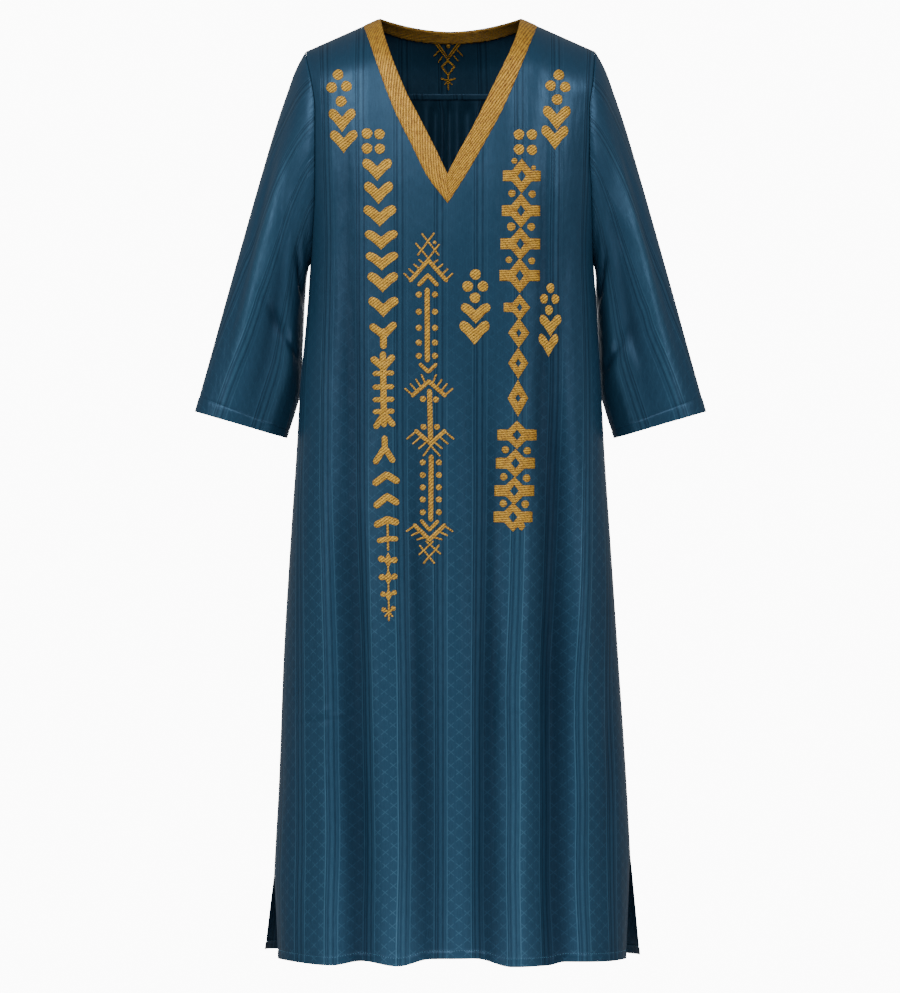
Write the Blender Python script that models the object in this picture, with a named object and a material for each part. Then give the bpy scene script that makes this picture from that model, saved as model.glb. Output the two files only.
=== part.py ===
"""Ankle-length caftan, filled out as worn but with nobody in it.

Metres, +Z up, +X to the viewer's right, the front towards -Y. The origin lies between the two
shoulder tips, where the shoulders hold the garment up. Every height in a table is a drop below
those tips, in millimetres.

The body is one hull. At each height a section of it is a rounded oval, and a point of the front or
the back is found from its x and z. The panels are cut from that hull, and the neckband is made of
its own points, moved out.
"""

import math
from typing import NamedTuple

import bmesh
import bpy
import numpy as np
from mathutils.geometry import delaunay_2d_cdt

MM = 0.001

# Driving sizes, in metres
WALL = 1.5 * MM
SEAM_GAP = 0.3 * MM
HEM_HEIGHT = 12 * MM
CUFF_HEMS = 10 * MM
TURNED_CLOTH = 0.8 * MM
ARMHOLE_DROP = 304.5 * MM
SHOULDER_TIP = 209.5 * MM
NECK_POINT = 101.5 * MM
NECK_RISE = 48 * MM
SHOULDER_ROUNDING = 72 * MM
YOKE_SEAM = -64.5 * MM
YOKE_TURNING = 7 * MM
BACK_NECK_DIP = 17 * MM
BAND_THICKNESS = 1.4 * MM
BAND_WIDTH_AT_BACK = 24 * MM
BAND_COLUMNS = 4
BAND_WIDTH_INSIDE = BAND_WIDTH_AT_BACK * 2 / 3
BACK_HEM = -1306 * MM
SLIT_TOPS = {-1: -1195 * MM, 1: -1165 * MM}
SLIT_SPREAD = 9.5 * MM
SLIT_DEPTHS = {"front": 14 * MM, "back": 24 * MM}
SQUARENESS = 2.3
YOKE_TURN = math.degrees(math.acos(1 + 2 * YOKE_SEAM / ARMHOLE_DROP))
ARMHOLE_TURNS = np.concatenate([np.linspace(0, YOKE_TURN, 5), np.linspace(YOKE_TURN, 180, 10)[1:]])
ARMHOLE_SHARE = 0.53
GATHER_PITCH = 24 * MM
GATHER_RISE = 6 * MM
GATHER_COUNT = 9
HALF_WIDTH_ON_PLAN = 0.27
SLOPE_STEP = 0.2 * MM
NEAR_SEAM = 5 * MM
SLEEVE_CLEARANCE = 1.6 * MM


class BodyRow(NamedTuple):
    """A section of the body: its side edges seen from the front, and its depths from the side seam."""

    drop: float
    left: float
    right: float
    front: float
    back: float


BODY = (
    BodyRow(-48, -212, 212, 84, 90),
    BodyRow(0, -209.5, 209.5, 98, 104),
    BodyRow(45, -201, 206, 110, 114),
    BodyRow(85, -196, 201, 119, 119),
    BodyRow(150, -196, 201, 127, 121),
    BodyRow(205, -196.5, 204, 131, 118),
    BodyRow(262, -199.5, 205.5, 132, 114),
    BodyRow(304.5, -202.5, 207, 131, 111),
    BodyRow(360, -206, 210.5, 129, 110),
    BodyRow(490, -217.5, 218, 125, 116),
    BodyRow(577, -222.5, 222.5, 125, 121),
    BodyRow(708, -231.3, 231.3, 129, 126),
    BodyRow(882, -241.5, 243, 136, 132),
    BodyRow(1056, -248, 254.5, 143, 139),
    BodyRow(1186, -255, 261, 148, 144),
    BodyRow(1330, -260.5, 265, 153, 149),
)


# The neckband's edges down each side of the V, as rows of drop and x, in millimetres
V_INNER_LEFT = ((-48, -101.5), (-26, -96.5), (58, -65), (93, -47), (140, -23), (179, -4.5))
V_INNER_RIGHT = ((-48, 101.5), (-24, 95.5), (55, 59.5), (109, 33), (150, 10.5), (179, -4.5))
V_OUTER_LEFT = ((-37.2, -126), (84, -82.5), (138, -56), (182, -34), (222, -4))
V_OUTER_RIGHT = ((-37.2, 126), (84, 76), (138, 47), (182, 21.6), (222, -4))


class HemRow(NamedTuple):
    """A point of the front hem's lower edge, which dips where a fold comes forward."""

    across: float
    drop: float


FRONT_HEM = (
    HemRow(-270, 1311),
    HemRow(-172, 1320.5),
    HemRow(-128, 1314),
    HemRow(-76, 1321),
    HemRow(-30, 1311),
    HemRow(35, 1310),
    HemRow(88, 1322),
    HemRow(140, 1320.5),
    HemRow(165, 1315.5),
    HemRow(222, 1316),
    HemRow(275, 1311),
)


class Fold(NamedTuple):
    """A soft ridge, or a trough where its rise is negative, that grows from its start to the hem."""

    face: str
    start: float
    at_start: float
    at_hem: float
    width: float
    rise: float


FOLDS = (
    Fold("front", 330, -186, -176, 22, 9),
    Fold("front", 60, -150, -130, 23, -12),
    Fold("front", 420, -98, -80, 27, 11),
    Fold("front", 480, -52, -30, 26, -7),
    Fold("front", 520, 2, 10, 27, 5),
    Fold("front", 380, 52, 56, 22, -10),
    Fold("front", 300, 92, 100, 27, 12),
    Fold("front", 60, 134, 152, 23, -13),
    Fold("front", 330, 190, 200, 20, 8),
    Fold("back", 300, -190, -186, 22, 9),
    Fold("back", 260, -138, -142, 24, -12),
    Fold("back", 400, -84, -92, 26, 12),
    Fold("back", 330, -36, -44, 24, -10),
    Fold("back", 430, 14, 6, 27, 11),
    Fold("back", 350, 60, 66, 24, -11),
    Fold("back", 420, 104, 112, 26, 12),
    Fold("back", 250, 150, 160, 23, -12),
    Fold("back", 330, 196, 204, 20, 8),
)


class SleeveRow(NamedTuple):
    """A ring of the sleeve, from the armhole to the cuff: its top and under lines, and its depth."""

    share: float
    top_drop: float
    top_out: float
    under_drop: float
    under_out: float
    half_depth: float
    set_back: float


SLEEVE = (
    SleeveRow(0.00, 0, 209.5, 304.5, 202.4, 60, 0),
    SleeveRow(0.03, 14.5, 218.2, 311, 205.5, 63, 5),
    SleeveRow(0.06, 31, 226.2, 319, 207.5, 65, 11),
    SleeveRow(0.11, 58, 236, 332, 209.5, 68, 20),
    SleeveRow(0.19, 98.6, 250.1, 353, 211, 70, 30),
    SleeveRow(0.36, 185.6, 276.2, 396, 213.5, 68, 38),
    SleeveRow(0.53, 272.6, 301, 440, 215, 62, 41),
    SleeveRow(0.70, 360, 325.5, 483, 216.5, 55, 42),
    SleeveRow(0.86, 447, 349.5, 524, 226.5, 49, 41),
    SleeveRow(1.00, 521.5, 370.5, 559.7, 238.5, 44, 40),
)


class SleeveFold(NamedTuple):
    """A ridge or trough along or across a sleeve: its middle, its spread and its rise."""

    side: int
    share: float
    turn: float
    long: float
    wide: float
    rise: float


SLEEVE_FOLDS = (
    SleeveFold(-1, 0.55, 62, 0.42, 13, 6),
    SleeveFold(-1, 0.60, 96, 0.40, 12, -6),
    SleeveFold(-1, 0.66, 128, 0.30, 12, 5),
    SleeveFold(-1, 0.58, 118, 0.035, 34, -5),
    SleeveFold(-1, 0.22, 140, 0.05, 22, -7),
    SleeveFold(-1, 0.60, 232, 0.40, 16, 6),
    SleeveFold(-1, 0.60, 290, 0.40, 16, -6),
    SleeveFold(1, 0.58, 58, 0.42, 13, 6),
    SleeveFold(1, 0.62, 92, 0.42, 12, -6),
    SleeveFold(1, 0.60, 124, 0.32, 12, 5),
    SleeveFold(1, 0.64, 126, 0.035, 26, -5),
    SleeveFold(1, 0.24, 138, 0.05, 22, -7),
    SleeveFold(1, 0.58, 228, 0.42, 16, 6),
    SleeveFold(1, 0.62, 286, 0.40, 16, -6),
)


def smooth(places, values, at):
    """A cubic through the rows whose slopes never overshoot them; `places` rise."""
    places = np.asarray(places, float)
    values = np.asarray(values, float)
    steps = np.diff(places)
    rises = np.diff(values) / steps
    slopes = np.empty_like(values)
    slopes[0], slopes[-1] = rises[0], rises[-1]
    before, after = rises[:-1], rises[1:]
    same_way = before * after > 0
    total = np.where(same_way, before + after, 1.0)
    slopes[1:-1] = np.where(same_way, 2 * before * after / total, 0.0)
    at = np.clip(at, places[0], places[-1])
    cell = np.clip(np.searchsorted(places, at, side="right") - 1, 0, len(steps) - 1)
    t = (at - places[cell]) / steps[cell]
    start, end = values[cell], values[cell + 1]
    lean, leave = slopes[cell] * steps[cell], slopes[cell + 1] * steps[cell]
    bend = start - end
    return start + t * (lean + t * (-3 * bend - 2 * lean - leave + t * (2 * bend + lean + leave)))


def column(rows, name):
    return [getattr(row, name) for row in rows]


def body_at(name, z):
    """A column of the body's table at height z, in metres."""
    return MM * smooth(column(BODY, "drop"), column(BODY, name), -np.asarray(z) / MM)


def ease(t):
    t = np.clip(t, 0.0, 1.0)
    return t * t * (3 - 2 * t)


def slit_share(z, side):
    """How far a slit has opened at height z: 0 at its top, 1 at the hem."""
    top = SLIT_TOPS[side]
    return np.clip((top - z) / (top - BACK_HEM), 0.0, 1.3)


def side_edge(z, side, face):
    """x of a panel's side edge, where below the slit's top the front lies inside the back."""
    edge = body_at("left" if side < 0 else "right", z)
    spread = SLIT_SPREAD * slit_share(z, side)
    return edge + side * spread * (-1 if face == "front" else 1)


def section(z, face):
    """Middle, reach and share of a quarter turn that a panel takes up at height z."""
    left, right = side_edge(z, -1, face), side_edge(z, 1, face)
    down = np.clip(-z / ARMHOLE_DROP, 0.0, 1.0)
    share = ARMHOLE_SHARE * (1 - down**2.5) ** 0.75
    turn = np.arccos(share ** (SQUARENESS / 2)) / (math.pi / 2)
    reach = (right - left) / 2 / np.sin(turn * math.pi / 2) ** (2 / SQUARENESS)
    return (left + right) / 2, reach, turn


def shoulder(x):
    """Height of the shoulder seam over x, level across the neck opening."""
    slope = NECK_RISE / (SHOULDER_TIP - NECK_POINT)
    return NECK_RISE - slope * np.clip(np.abs(x) - NECK_POINT, 0, None)


def folds(x, z, face):
    """How far the folds of a face move its cloth out at x and z."""
    total = np.zeros(np.broadcast(x, z).shape)
    hem = -BACK_HEM / MM
    for fold in FOLDS:
        if fold.face != face:
            continue
        fallen = np.clip((-z / MM - fold.start) / (hem - fold.start), 0.0, 1.1)
        middle = MM * (fold.at_start + (fold.at_hem - fold.at_start) * fallen)
        grown = 1 - (1 - np.clip(fallen, 0, 1)) ** 2
        total += MM * fold.rise * grown * np.exp(-(((x - middle) / (MM * fold.width)) ** 2))
    if face == "back":
        total += gathers(x, z)
    return total


def gathers(x, z):
    """The gathers under the yoke: rounded waves, highest just under the seam, gone by the hips."""
    below = YOKE_SEAM - z
    spread = 1 + 0.9 * np.clip(below, 0, None)
    place = x / (GATHER_PITCH * spread)
    uneven = place + 0.12 * np.sin(2.1 * place + 0.7)
    across = ease((GATHER_COUNT / 2 - np.abs(place)) / 0.6)
    down = ease(below / (22 * MM)) * (1 - ease((below - 0.05) / 0.42))
    return GATHER_RISE * across * down * (0.5 + 0.5 * np.cos(2 * math.pi * uneven))


def depth(x, z, face):
    """How far a face stands out from the plane of the side seams at x and z."""
    middle, reach, _ = section(z, face)
    out = np.clip(np.abs(x - middle) / reach, 0.0, 1.0)
    crown = (1 - out**SQUARENESS) ** (1 / SQUARENESS)
    fallen = np.clip((shoulder(x) - z) / SHOULDER_ROUNDING, 0.0, 1.0)
    rounding = np.sqrt(1 - (1 - fallen) ** 2)
    opened = np.where(x < middle, slit_share(z, -1), slit_share(z, 1))
    edge = SEAM_GAP / 2 + SLIT_DEPTHS[face] * opened
    swell = (body_at(face, z) - edge) * crown * rounding
    return edge + swell + folds(x, z, face) * rounding * crown**1.5


def on_hull(x, z, face, out=0.0):
    """The points of a face at x and z, moved out along its normals."""
    x, z = np.broadcast_arrays(np.asarray(x, float), np.asarray(z, float))
    step = SLOPE_STEP
    slope_x = (depth(x + step, z, face) - depth(x - step, z, face)) / (2 * step)
    slope_z = (depth(x, z + step, face) - depth(x, z - step, face)) / (2 * step)
    way = -1.0 if face == "front" else 1.0
    normal = np.stack([-slope_x, np.full_like(x, way), -slope_z], -1)
    normal /= np.linalg.norm(normal, axis=-1, keepdims=True)
    points = np.stack([x, way * depth(x, z, face), z], -1)
    return points + normal * np.asarray(out)[..., None]


def across(turn, z, face):
    """x at a share of the way from the middle line to a panel's side edge, -1 to 1."""
    middle, reach, most = section(z, face)
    angle = np.abs(turn) * most * math.pi / 2
    return middle + np.sign(turn) * reach * np.sin(angle) ** (2 / SQUARENESS)


def turn_of(x, z, face):
    """The inverse of `across`."""
    middle, reach, most = section(z, face)
    out = np.clip(np.abs(x - middle) / reach, 0.0, 1.0)
    return np.sign(x - middle) * np.arcsin(out ** (SQUARENESS / 2)) / (most * math.pi / 2)


def level(x, row):
    """Height at x of a row of cloth that starts as the shoulder seam and is level by the underarm."""
    return row + shoulder(x) * np.clip(1 + row / ARMHOLE_DROP, 0.0, 1.0)


def row_of(x, z):
    """The inverse of `level`."""
    rise = shoulder(x)
    return np.where(z > -ARMHOLE_DROP, (z - rise) / (1 + rise / ARMHOLE_DROP), z)


def row_points(turns, row, face):
    """x and z of the points of one row of cloth."""
    turns = np.asarray(turns, float)
    z = np.full(turns.shape, float(row))
    for _ in range(6):
        x = across(turns, z, face)
        z = level(x, row)
    return x, z


def hem_points(turns, face):
    """x and z of the points along the lower edge of a face."""
    turns = np.asarray(turns, float)
    z = np.full(turns.shape, BACK_HEM)
    for _ in range(6):
        x = across(turns, z, face)
        z = hem_height(x, face)
    return x, z


def new_object(name, points, faces, material):
    """A mesh object of the given points and faces, with its faces turned outwards."""
    mesh = bpy.data.meshes.new(name)
    mesh.from_pydata([tuple(point) for point in points], [], faces)
    shell = bmesh.new()
    shell.from_mesh(mesh)
    bmesh.ops.recalc_face_normals(shell, faces=shell.faces)
    shell.to_mesh(mesh)
    shell.free()
    body = bpy.data.objects.new(name, mesh)
    collection.objects.link(body)
    mesh.materials.append(material)
    mesh.shade_smooth()
    mesh.set_sharp_from_angle(angle=math.radians(40))
    return body


def grid_wall(name, outer, inner, material, closed=False):
    """A wall between two grids of points, rows by columns; a closed one is a tube."""
    rows, columns = outer.shape[:2]
    count = rows * columns

    def at(row, place, side):
        return side * count + row * columns + place % columns

    faces = []
    wide = columns if closed else columns - 1
    for row in range(rows - 1):
        for place in range(wide):
            for side in (0, 1):
                near, next_near = at(row, place, side), at(row, place + 1, side)
                far, next_far = at(row + 1, place, side), at(row + 1, place + 1, side)
                faces += [(near, next_near, next_far), (near, next_far, far)]
    rim = [(0, place, 0, place + 1) for place in range(wide)]
    rim += [(rows - 1, place + 1, rows - 1, place) for place in range(wide)]
    if not closed:
        rim += [(row + 1, 0, row, 0) for row in range(rows - 1)]
        rim += [(row, columns - 1, row + 1, columns - 1) for row in range(rows - 1)]
    for row_a, place_a, row_b, place_b in rim:
        faces.append((at(row_a, place_a, 0), at(row_b, place_b, 0),
                      at(row_b, place_b, 1), at(row_a, place_a, 1)))
    points = np.concatenate([outer.reshape(-1, 3), inner.reshape(-1, 3)])
    return new_object(name, points, faces, material)


def strip_wall(name, plan, face, lift, thickness, material):
    """A band over the cells of a plan, lying on a face at the given lift."""
    x, z = plan[..., 0], plan[..., 1]
    top = on_hull(x, z, face, np.full(x.shape, lift + thickness))
    under = on_hull(x, z, face, np.full(x.shape, lift))
    return grid_wall(name, top, under, material)


def cloth_material(name, colour, roughness):
    material = bpy.data.materials.new(name)
    material.use_nodes = True
    shader = material.node_tree.nodes["Principled BSDF"]
    shader.inputs["Base Color"].default_value = (*colour, 1.0)
    shader.inputs["Roughness"].default_value = roughness
    shader.inputs["Metallic"].default_value = 0.0
    material.diffuse_color = (*colour, 1.0)
    return material


def sleeve_at(name, share):
    return MM * smooth(column(SLEEVE, "share"), column(SLEEVE, name), share)


def armhole_loop(turns, side):
    """Points and outward normals of the armhole's edge; a turn of 0 is the tip, 90 the front."""
    z = -ARMHOLE_DROP * (1 - np.cos(np.radians(turns))) / 2
    points, normals = [], []
    for turn, height in zip(turns, z):
        face = "front" if turn <= 180 else "back"
        x = side_edge(height, side, face)
        edge = on_hull(x, height, face)
        normals.append(on_hull(x, height, face, 1.0) - edge)
        points.append(edge)
    points, normals = np.array(points), np.array(normals)
    points[[0, len(turns) // 2], 1] = 0.0
    normals[[0, len(turns) // 2], 1] = 0.0
    return points, normals / np.linalg.norm(normals, axis=1, keepdims=True)


def oval_ring(share, turns, side):
    """A ring of the sleeve before the armhole bends it."""
    angle = np.radians(turns)
    top = np.array([side * sleeve_at("top_out", share), -sleeve_at("top_drop", share)])
    under = np.array([side * sleeve_at("under_out", share), -sleeve_at("under_drop", share)])
    middle, arm = (top + under) / 2, (top - under) / 2
    x = middle[0] + arm[0] * np.cos(angle)
    z = middle[1] + arm[1] * np.cos(angle)
    y = sleeve_at("set_back", share) - sleeve_at("half_depth", share) * np.sin(angle)
    return np.stack([x, y, z], -1)


def clear_of_body(points, side):
    """The points of a sleeve, moved out where they would touch the body's side."""
    x, y, z = points.T
    face = np.where(y < 0, 0, 1)
    wide = np.empty_like(x)
    for index, name in enumerate(("front", "back")):
        middle, reach, _ = section(z, name)
        share = np.clip(np.abs(y) / body_at(name, z), 0.0, 1.0)
        hull = middle + side * reach * (1 - share**SQUARENESS) ** (1 / SQUARENESS)
        wide = np.where(face == index, side * hull, wide)
    low = ease((-ARMHOLE_DROP + 9 * MM - z) / (9 * MM))
    least = wide + SLEEVE_CLEARANCE
    moved = np.maximum(side * x, np.where(low > 0, least * low + side * x * (1 - low), side * x))
    return np.stack([side * moved, y, z], -1)


def sleeve_rings(shares, turns, side):
    """The outer points of a sleeve, ring by ring."""
    edge, _ = armhole_loop(turns, side)
    bend = edge - oval_ring(0.0, turns, side)
    rings = []
    for share in shares:
        fade = max(0.0, 1 - share / 0.3) ** 2
        rings.append(clear_of_body(oval_ring(share, turns, side) + bend * fade, side))
    return np.array(rings)


def grid_normals(points, side):
    """Normals of a closed ring grid, from its neighbours along and around."""
    along = np.gradient(points, axis=0)
    around = np.roll(points, -1, axis=1) - np.roll(points, 1, axis=1)
    normals = np.cross(along, around) * -side
    return normals / np.linalg.norm(normals, axis=-1, keepdims=True)


def sleeve_lift(shares, turns, side):
    total = np.zeros((len(shares), len(turns)))
    for fold in SLEEVE_FOLDS:
        if fold.side != side:
            continue
        along = (np.asarray(shares)[:, None] - fold.share) / fold.long
        around = (turns[None, :] - fold.turn) / fold.wide
        total += MM * fold.rise * np.exp(-(along**2) - around**2)
    return total * ease(np.asarray(shares) / 0.12)[:, None]


def make_sleeve(name, side, material):
    """A set-in sleeve: rings from the armhole, along the seam with the body, to the turned cuff."""
    turns = np.concatenate([ARMHOLE_TURNS, 360 - ARMHOLE_TURNS[-2:0:-1]])
    cuff_length = MM * (SLEEVE[-1].under_drop - SLEEVE[0].under_drop)
    fold_line = 1 - CUFF_HEMS / cuff_length
    shares = [0, 0.02, 0.05, 0.1, 0.17, 0.25, 0.35, 0.45, 0.55, 0.64, 0.74, 0.86, fold_line - 0.004,
              fold_line, 1]
    outer = sleeve_rings(shares, turns, side)
    normals = grid_normals(outer, side)
    outer = outer + normals * sleeve_lift(shares, turns, side)[..., None]
    outer[1:] = np.array([clear_of_body(ring, side) for ring in outer[1:]])
    edge, edge_normals = armhole_loop(turns, side)
    tangent = np.roll(edge, -1, axis=0) - np.roll(edge, 1, axis=0)
    away = np.cross(tangent, edge_normals) * -side
    away /= np.linalg.norm(away, axis=1, keepdims=True)
    outer[0] = edge + away * SEAM_GAP * 1.2
    weight = (0.5 + 0.5 * np.cos(np.radians(turns)))[:, None]
    normals[0] = edge_normals * weight + normals[0] * (1 - weight)
    normals[0] /= np.linalg.norm(normals[0], axis=1, keepdims=True)
    thickness = np.full(len(shares), WALL)
    thickness[-2:] += TURNED_CLOTH
    inner = outer - normals * thickness[:, None, None]
    return grid_wall(name, outer, inner, material, closed=True)


def back_neck(x):
    """Height of the back neck's edge, lowest in the middle."""
    return NECK_RISE - BACK_NECK_DIP * (1 - np.clip(np.abs(x) / NECK_POINT, 0, 1) ** 1.8)


def edge_curve(rows, count):
    """(x, z) points along an edge given as rows of drop and x, from the shoulder seam down."""
    drops = np.array([row[0] for row in rows], float)
    fine = np.linspace(drops[0], drops[-1], count)
    points = np.stack([smooth(drops, [row[1] for row in rows], fine), -fine], -1) * MM
    points[0, 1] = shoulder(points[0, 0])
    return points


def between(inner_edge, outer_edge, columns):
    """The plan of a band: a grid of (x, z) points between its two edges."""
    shares = np.linspace(0, 1, columns)[None, :, None]
    return inner_edge[:, None] * (1 - shares) + outer_edge[:, None] * shares


def front_band(side):
    """The plan of one side of the neckband, from the shoulder seam to the mitre at the V."""
    inner, outer = (V_INNER_LEFT, V_OUTER_LEFT) if side < 0 else (V_INNER_RIGHT, V_OUTER_RIGHT)
    return between(edge_curve(inner, 15), edge_curve(outer, 15), BAND_COLUMNS)


def back_band(width):
    """The plan of the neckband behind the neck, whose columns are as far apart at any width."""
    columns = 1 + round((BAND_COLUMNS - 1) * width / BAND_WIDTH_AT_BACK)
    swing = np.sin(np.linspace(-1, 1, 21) * math.pi / 2)
    inner_x, outer_x = NECK_POINT * swing, (NECK_POINT + width) * swing
    lean = np.abs(swing) ** 2.4
    outer_z = shoulder(outer_x[0]) * lean + (back_neck(0.0) - width) * (1 - lean)
    inner_edge = np.stack([inner_x, back_neck(inner_x)], -1)
    return between(inner_edge, np.stack([outer_x, outer_z], -1), columns)


def shoulder_line(start, turns, side, face):
    """Points of the shoulder seam from a band's end at the cloth's columns, its tip left out."""
    first = abs(float(turn_of(start, shoulder(start), face)))
    beyond = side * turns[(turns > first + 0.02) & (turns < 1 - 1e-9)]
    return np.stack(row_points(beyond, 0.0, face), -1)


def armhole_edge(side, face, top, bottom):
    """(x, z) points of an armhole's edge, at the sleeve's own rings of points."""
    z = -ARMHOLE_DROP * (1 - np.cos(np.radians(ARMHOLE_TURNS))) / 2
    z = z[(z <= top + 1e-9) & (z >= bottom - 1e-9)]
    return np.stack([side_edge(z, side, face), z], -1)


def section_turns(middle_share, middle_count, side_count):
    """Shares of a half section, close together where it rounds to the sides."""
    middle = np.linspace(-middle_share, middle_share, middle_count + 1)
    sides = middle_share + (1 - middle_share) * np.sin(np.linspace(0, math.pi / 2, side_count + 1))
    return np.concatenate([-sides[::-1], middle[1:-1], sides])


def inside_band(points, plan, margin=4 * MM):
    """Which points lie within the margin of a band, or of the opening that it borders."""
    gaps = np.linalg.norm(points[:, None] - plan.reshape(-1, 2)[None], axis=-1)
    return gaps.min(axis=1) < margin


def in_neck(points, left, right):
    """Which points lie in the neck opening or under the band, left and right being its outer edges."""
    x, z = points.T
    left_x = smooth(-left[:, 1], left[:, 0], -z)
    right_x = smooth(-right[:, 1], right[:, 0], -z)
    margin = 4 * MM
    return (x > left_x - margin) & (x < right_x + margin) & (z > left[-1, 1] - margin)


def cut_sheet(border, plain, bands, face):
    """Triangles of a flat panel with the given border, inner points and band plans.

    The panel is spread out as share of a section against row of cloth, so that the rounded sides
    get their own cells. The border's points keep their places at the head of the list.
    """
    points = [*border, *plain]
    edges = [(place, (place + 1) % len(border)) for place in range(len(border))]
    for plan in bands:
        rows, columns = plan.shape[:2]
        first = len(points)
        points += list(plan.reshape(-1, 2))
        here = first + np.arange(rows * columns).reshape(rows, columns)
        edges += zip(here[:-1].ravel(), here[1:].ravel())
        edges += zip(here[:, :-1].ravel(), here[:, 1:].ravel())
        edges += zip(here[:-1, :-1].ravel(), here[1:, 1:].ravel())
    points = np.array(points)
    x, z = points.T
    plan = np.stack([HALF_WIDTH_ON_PLAN * turn_of(x, z, face), row_of(x, z)], -1)
    edges = [(int(a), int(b)) for a, b in edges]
    ring = list(range(len(border)))
    _, _, faces, origins, _, _ = delaunay_2d_cdt(plan.tolist(), edges, [ring], 1, 1e-6)
    source = np.array([min(origin) for origin in origins])
    triangles = source[np.array(faces)]
    corners = plan[triangles]
    first, second = corners[:, 1] - corners[:, 0], corners[:, 2] - corners[:, 0]
    turned = first[:, 0] * second[:, 1] - first[:, 1] * second[:, 0] < 0
    triangles[turned] = triangles[turned][:, ::-1]
    used, triangles = np.unique(triangles, return_inverse=True)
    return triangles.reshape(-1, 3), points[used]


def make_panel(name, face, border, plain, outer_bands, inner_bands, turned, material):
    """A wall of cloth over a face of the hull; `turned` tells which inner points are turned twice."""
    faces_out, points_out = cut_sheet(border, plain, outer_bands, face)
    faces_in, points_in = cut_sheet(border, plain, inner_bands, face)
    outer = on_hull(points_out[:, 0], points_out[:, 1], face)
    thickness = WALL + TURNED_CLOTH * turned(points_in)
    inner = on_hull(points_in[:, 0], points_in[:, 1], face, -thickness)
    count, edge = len(outer), len(border)
    faces = [tuple(map(int, corners)) for corners in faces_out]
    faces += [tuple(map(int, corners[::-1] + count)) for corners in faces_in]
    for place in range(edge):
        after = (place + 1) % edge
        faces.append((place, after, count + after, count + place))
    return new_object(name, np.concatenate([outer, inner]), faces, material)


def grid_points(turns, rows, face):
    """(x, z) points of whole rows of cloth, their two ends left out."""
    points = [np.stack(row_points(turns[1:-1], row, face), -1) for row in rows]
    return np.concatenate(points)


def low_rows(turns, face):
    """The rows at the turned hem: just above its fold line, on it, and the lower edge."""
    edge_x, edge_z = hem_points(turns, face)
    rows = []
    for rise in (HEM_HEIGHT + 1 * MM, HEM_HEIGHT, 0.0):
        z = edge_z + rise
        rows.append(np.stack([across(turns, z, face) if rise else edge_x, z], -1))
    return rows


def skirt_border(turns, rows, face):
    """The border from the right underarm down, along the hem and up to the left underarm."""
    above, fold, edge = low_rows(turns, face)
    right = np.array([row_points([1], row, face) for row in rows]).reshape(-1, 2)
    left = np.array([row_points([-1], row, face) for row in rows]).reshape(-1, 2)
    return np.concatenate([right, [above[-1], fold[-1]], edge[::-1], [fold[0], above[0]], left[::-1]])


def in_hem(face):
    """A test of which points of a face lie on its turned hem."""
    def test(points):
        return points[:, 1] < hem_height(points[:, 0], face) + HEM_HEIGHT + SEAM_GAP
    return test


def hem_height(x, face):
    """Height of a face's lower edge over x."""
    if face == "front":
        return -MM * smooth(column(FRONT_HEM, "across"), column(FRONT_HEM, "drop"), x / MM)
    return BACK_HEM - 4 * MM * np.sin(9 * math.pi * x)


SKIRT_ROWS = -np.array([345, 395, 455, 520, 600, 690, 780, 870, 960, 1050, 1125, 1170, 1215, 1260]) * MM


def make_front(material):
    """The front: one panel with the V cut out of it, whose points under the band are the band's own."""
    turns = section_turns(0.6, 18, 5)
    left, right = front_band(-1), front_band(1)
    armholes = {side: armhole_edge(side, "front", 0.0, -ARMHOLE_DROP) for side in (-1, 1)}
    border = np.concatenate([
        right[::-1, 0], right[0, 1:], shoulder_line(right[0, -1, 0], turns, 1, "front"), armholes[1],
        skirt_border(turns, SKIRT_ROWS, "front"), armholes[-1][::-1],
        shoulder_line(left[0, -1, 0], turns, -1, "front")[::-1], left[0, :0:-1], left[:-1, 0],
    ])
    upper = row_of(*armholes[1].T)[1:]
    plain = np.concatenate([
        grid_points(turns, upper, "front"), grid_points(turns, SKIRT_ROWS, "front"),
        *(row[1:-1] for row in low_rows(turns, "front")[:2]),
    ])
    plain = plain[~in_neck(plain, left[:, -1], right[:, -1])]
    return make_panel("front", "front", border, plain, [left, right], [], in_hem("front"), material)


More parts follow.
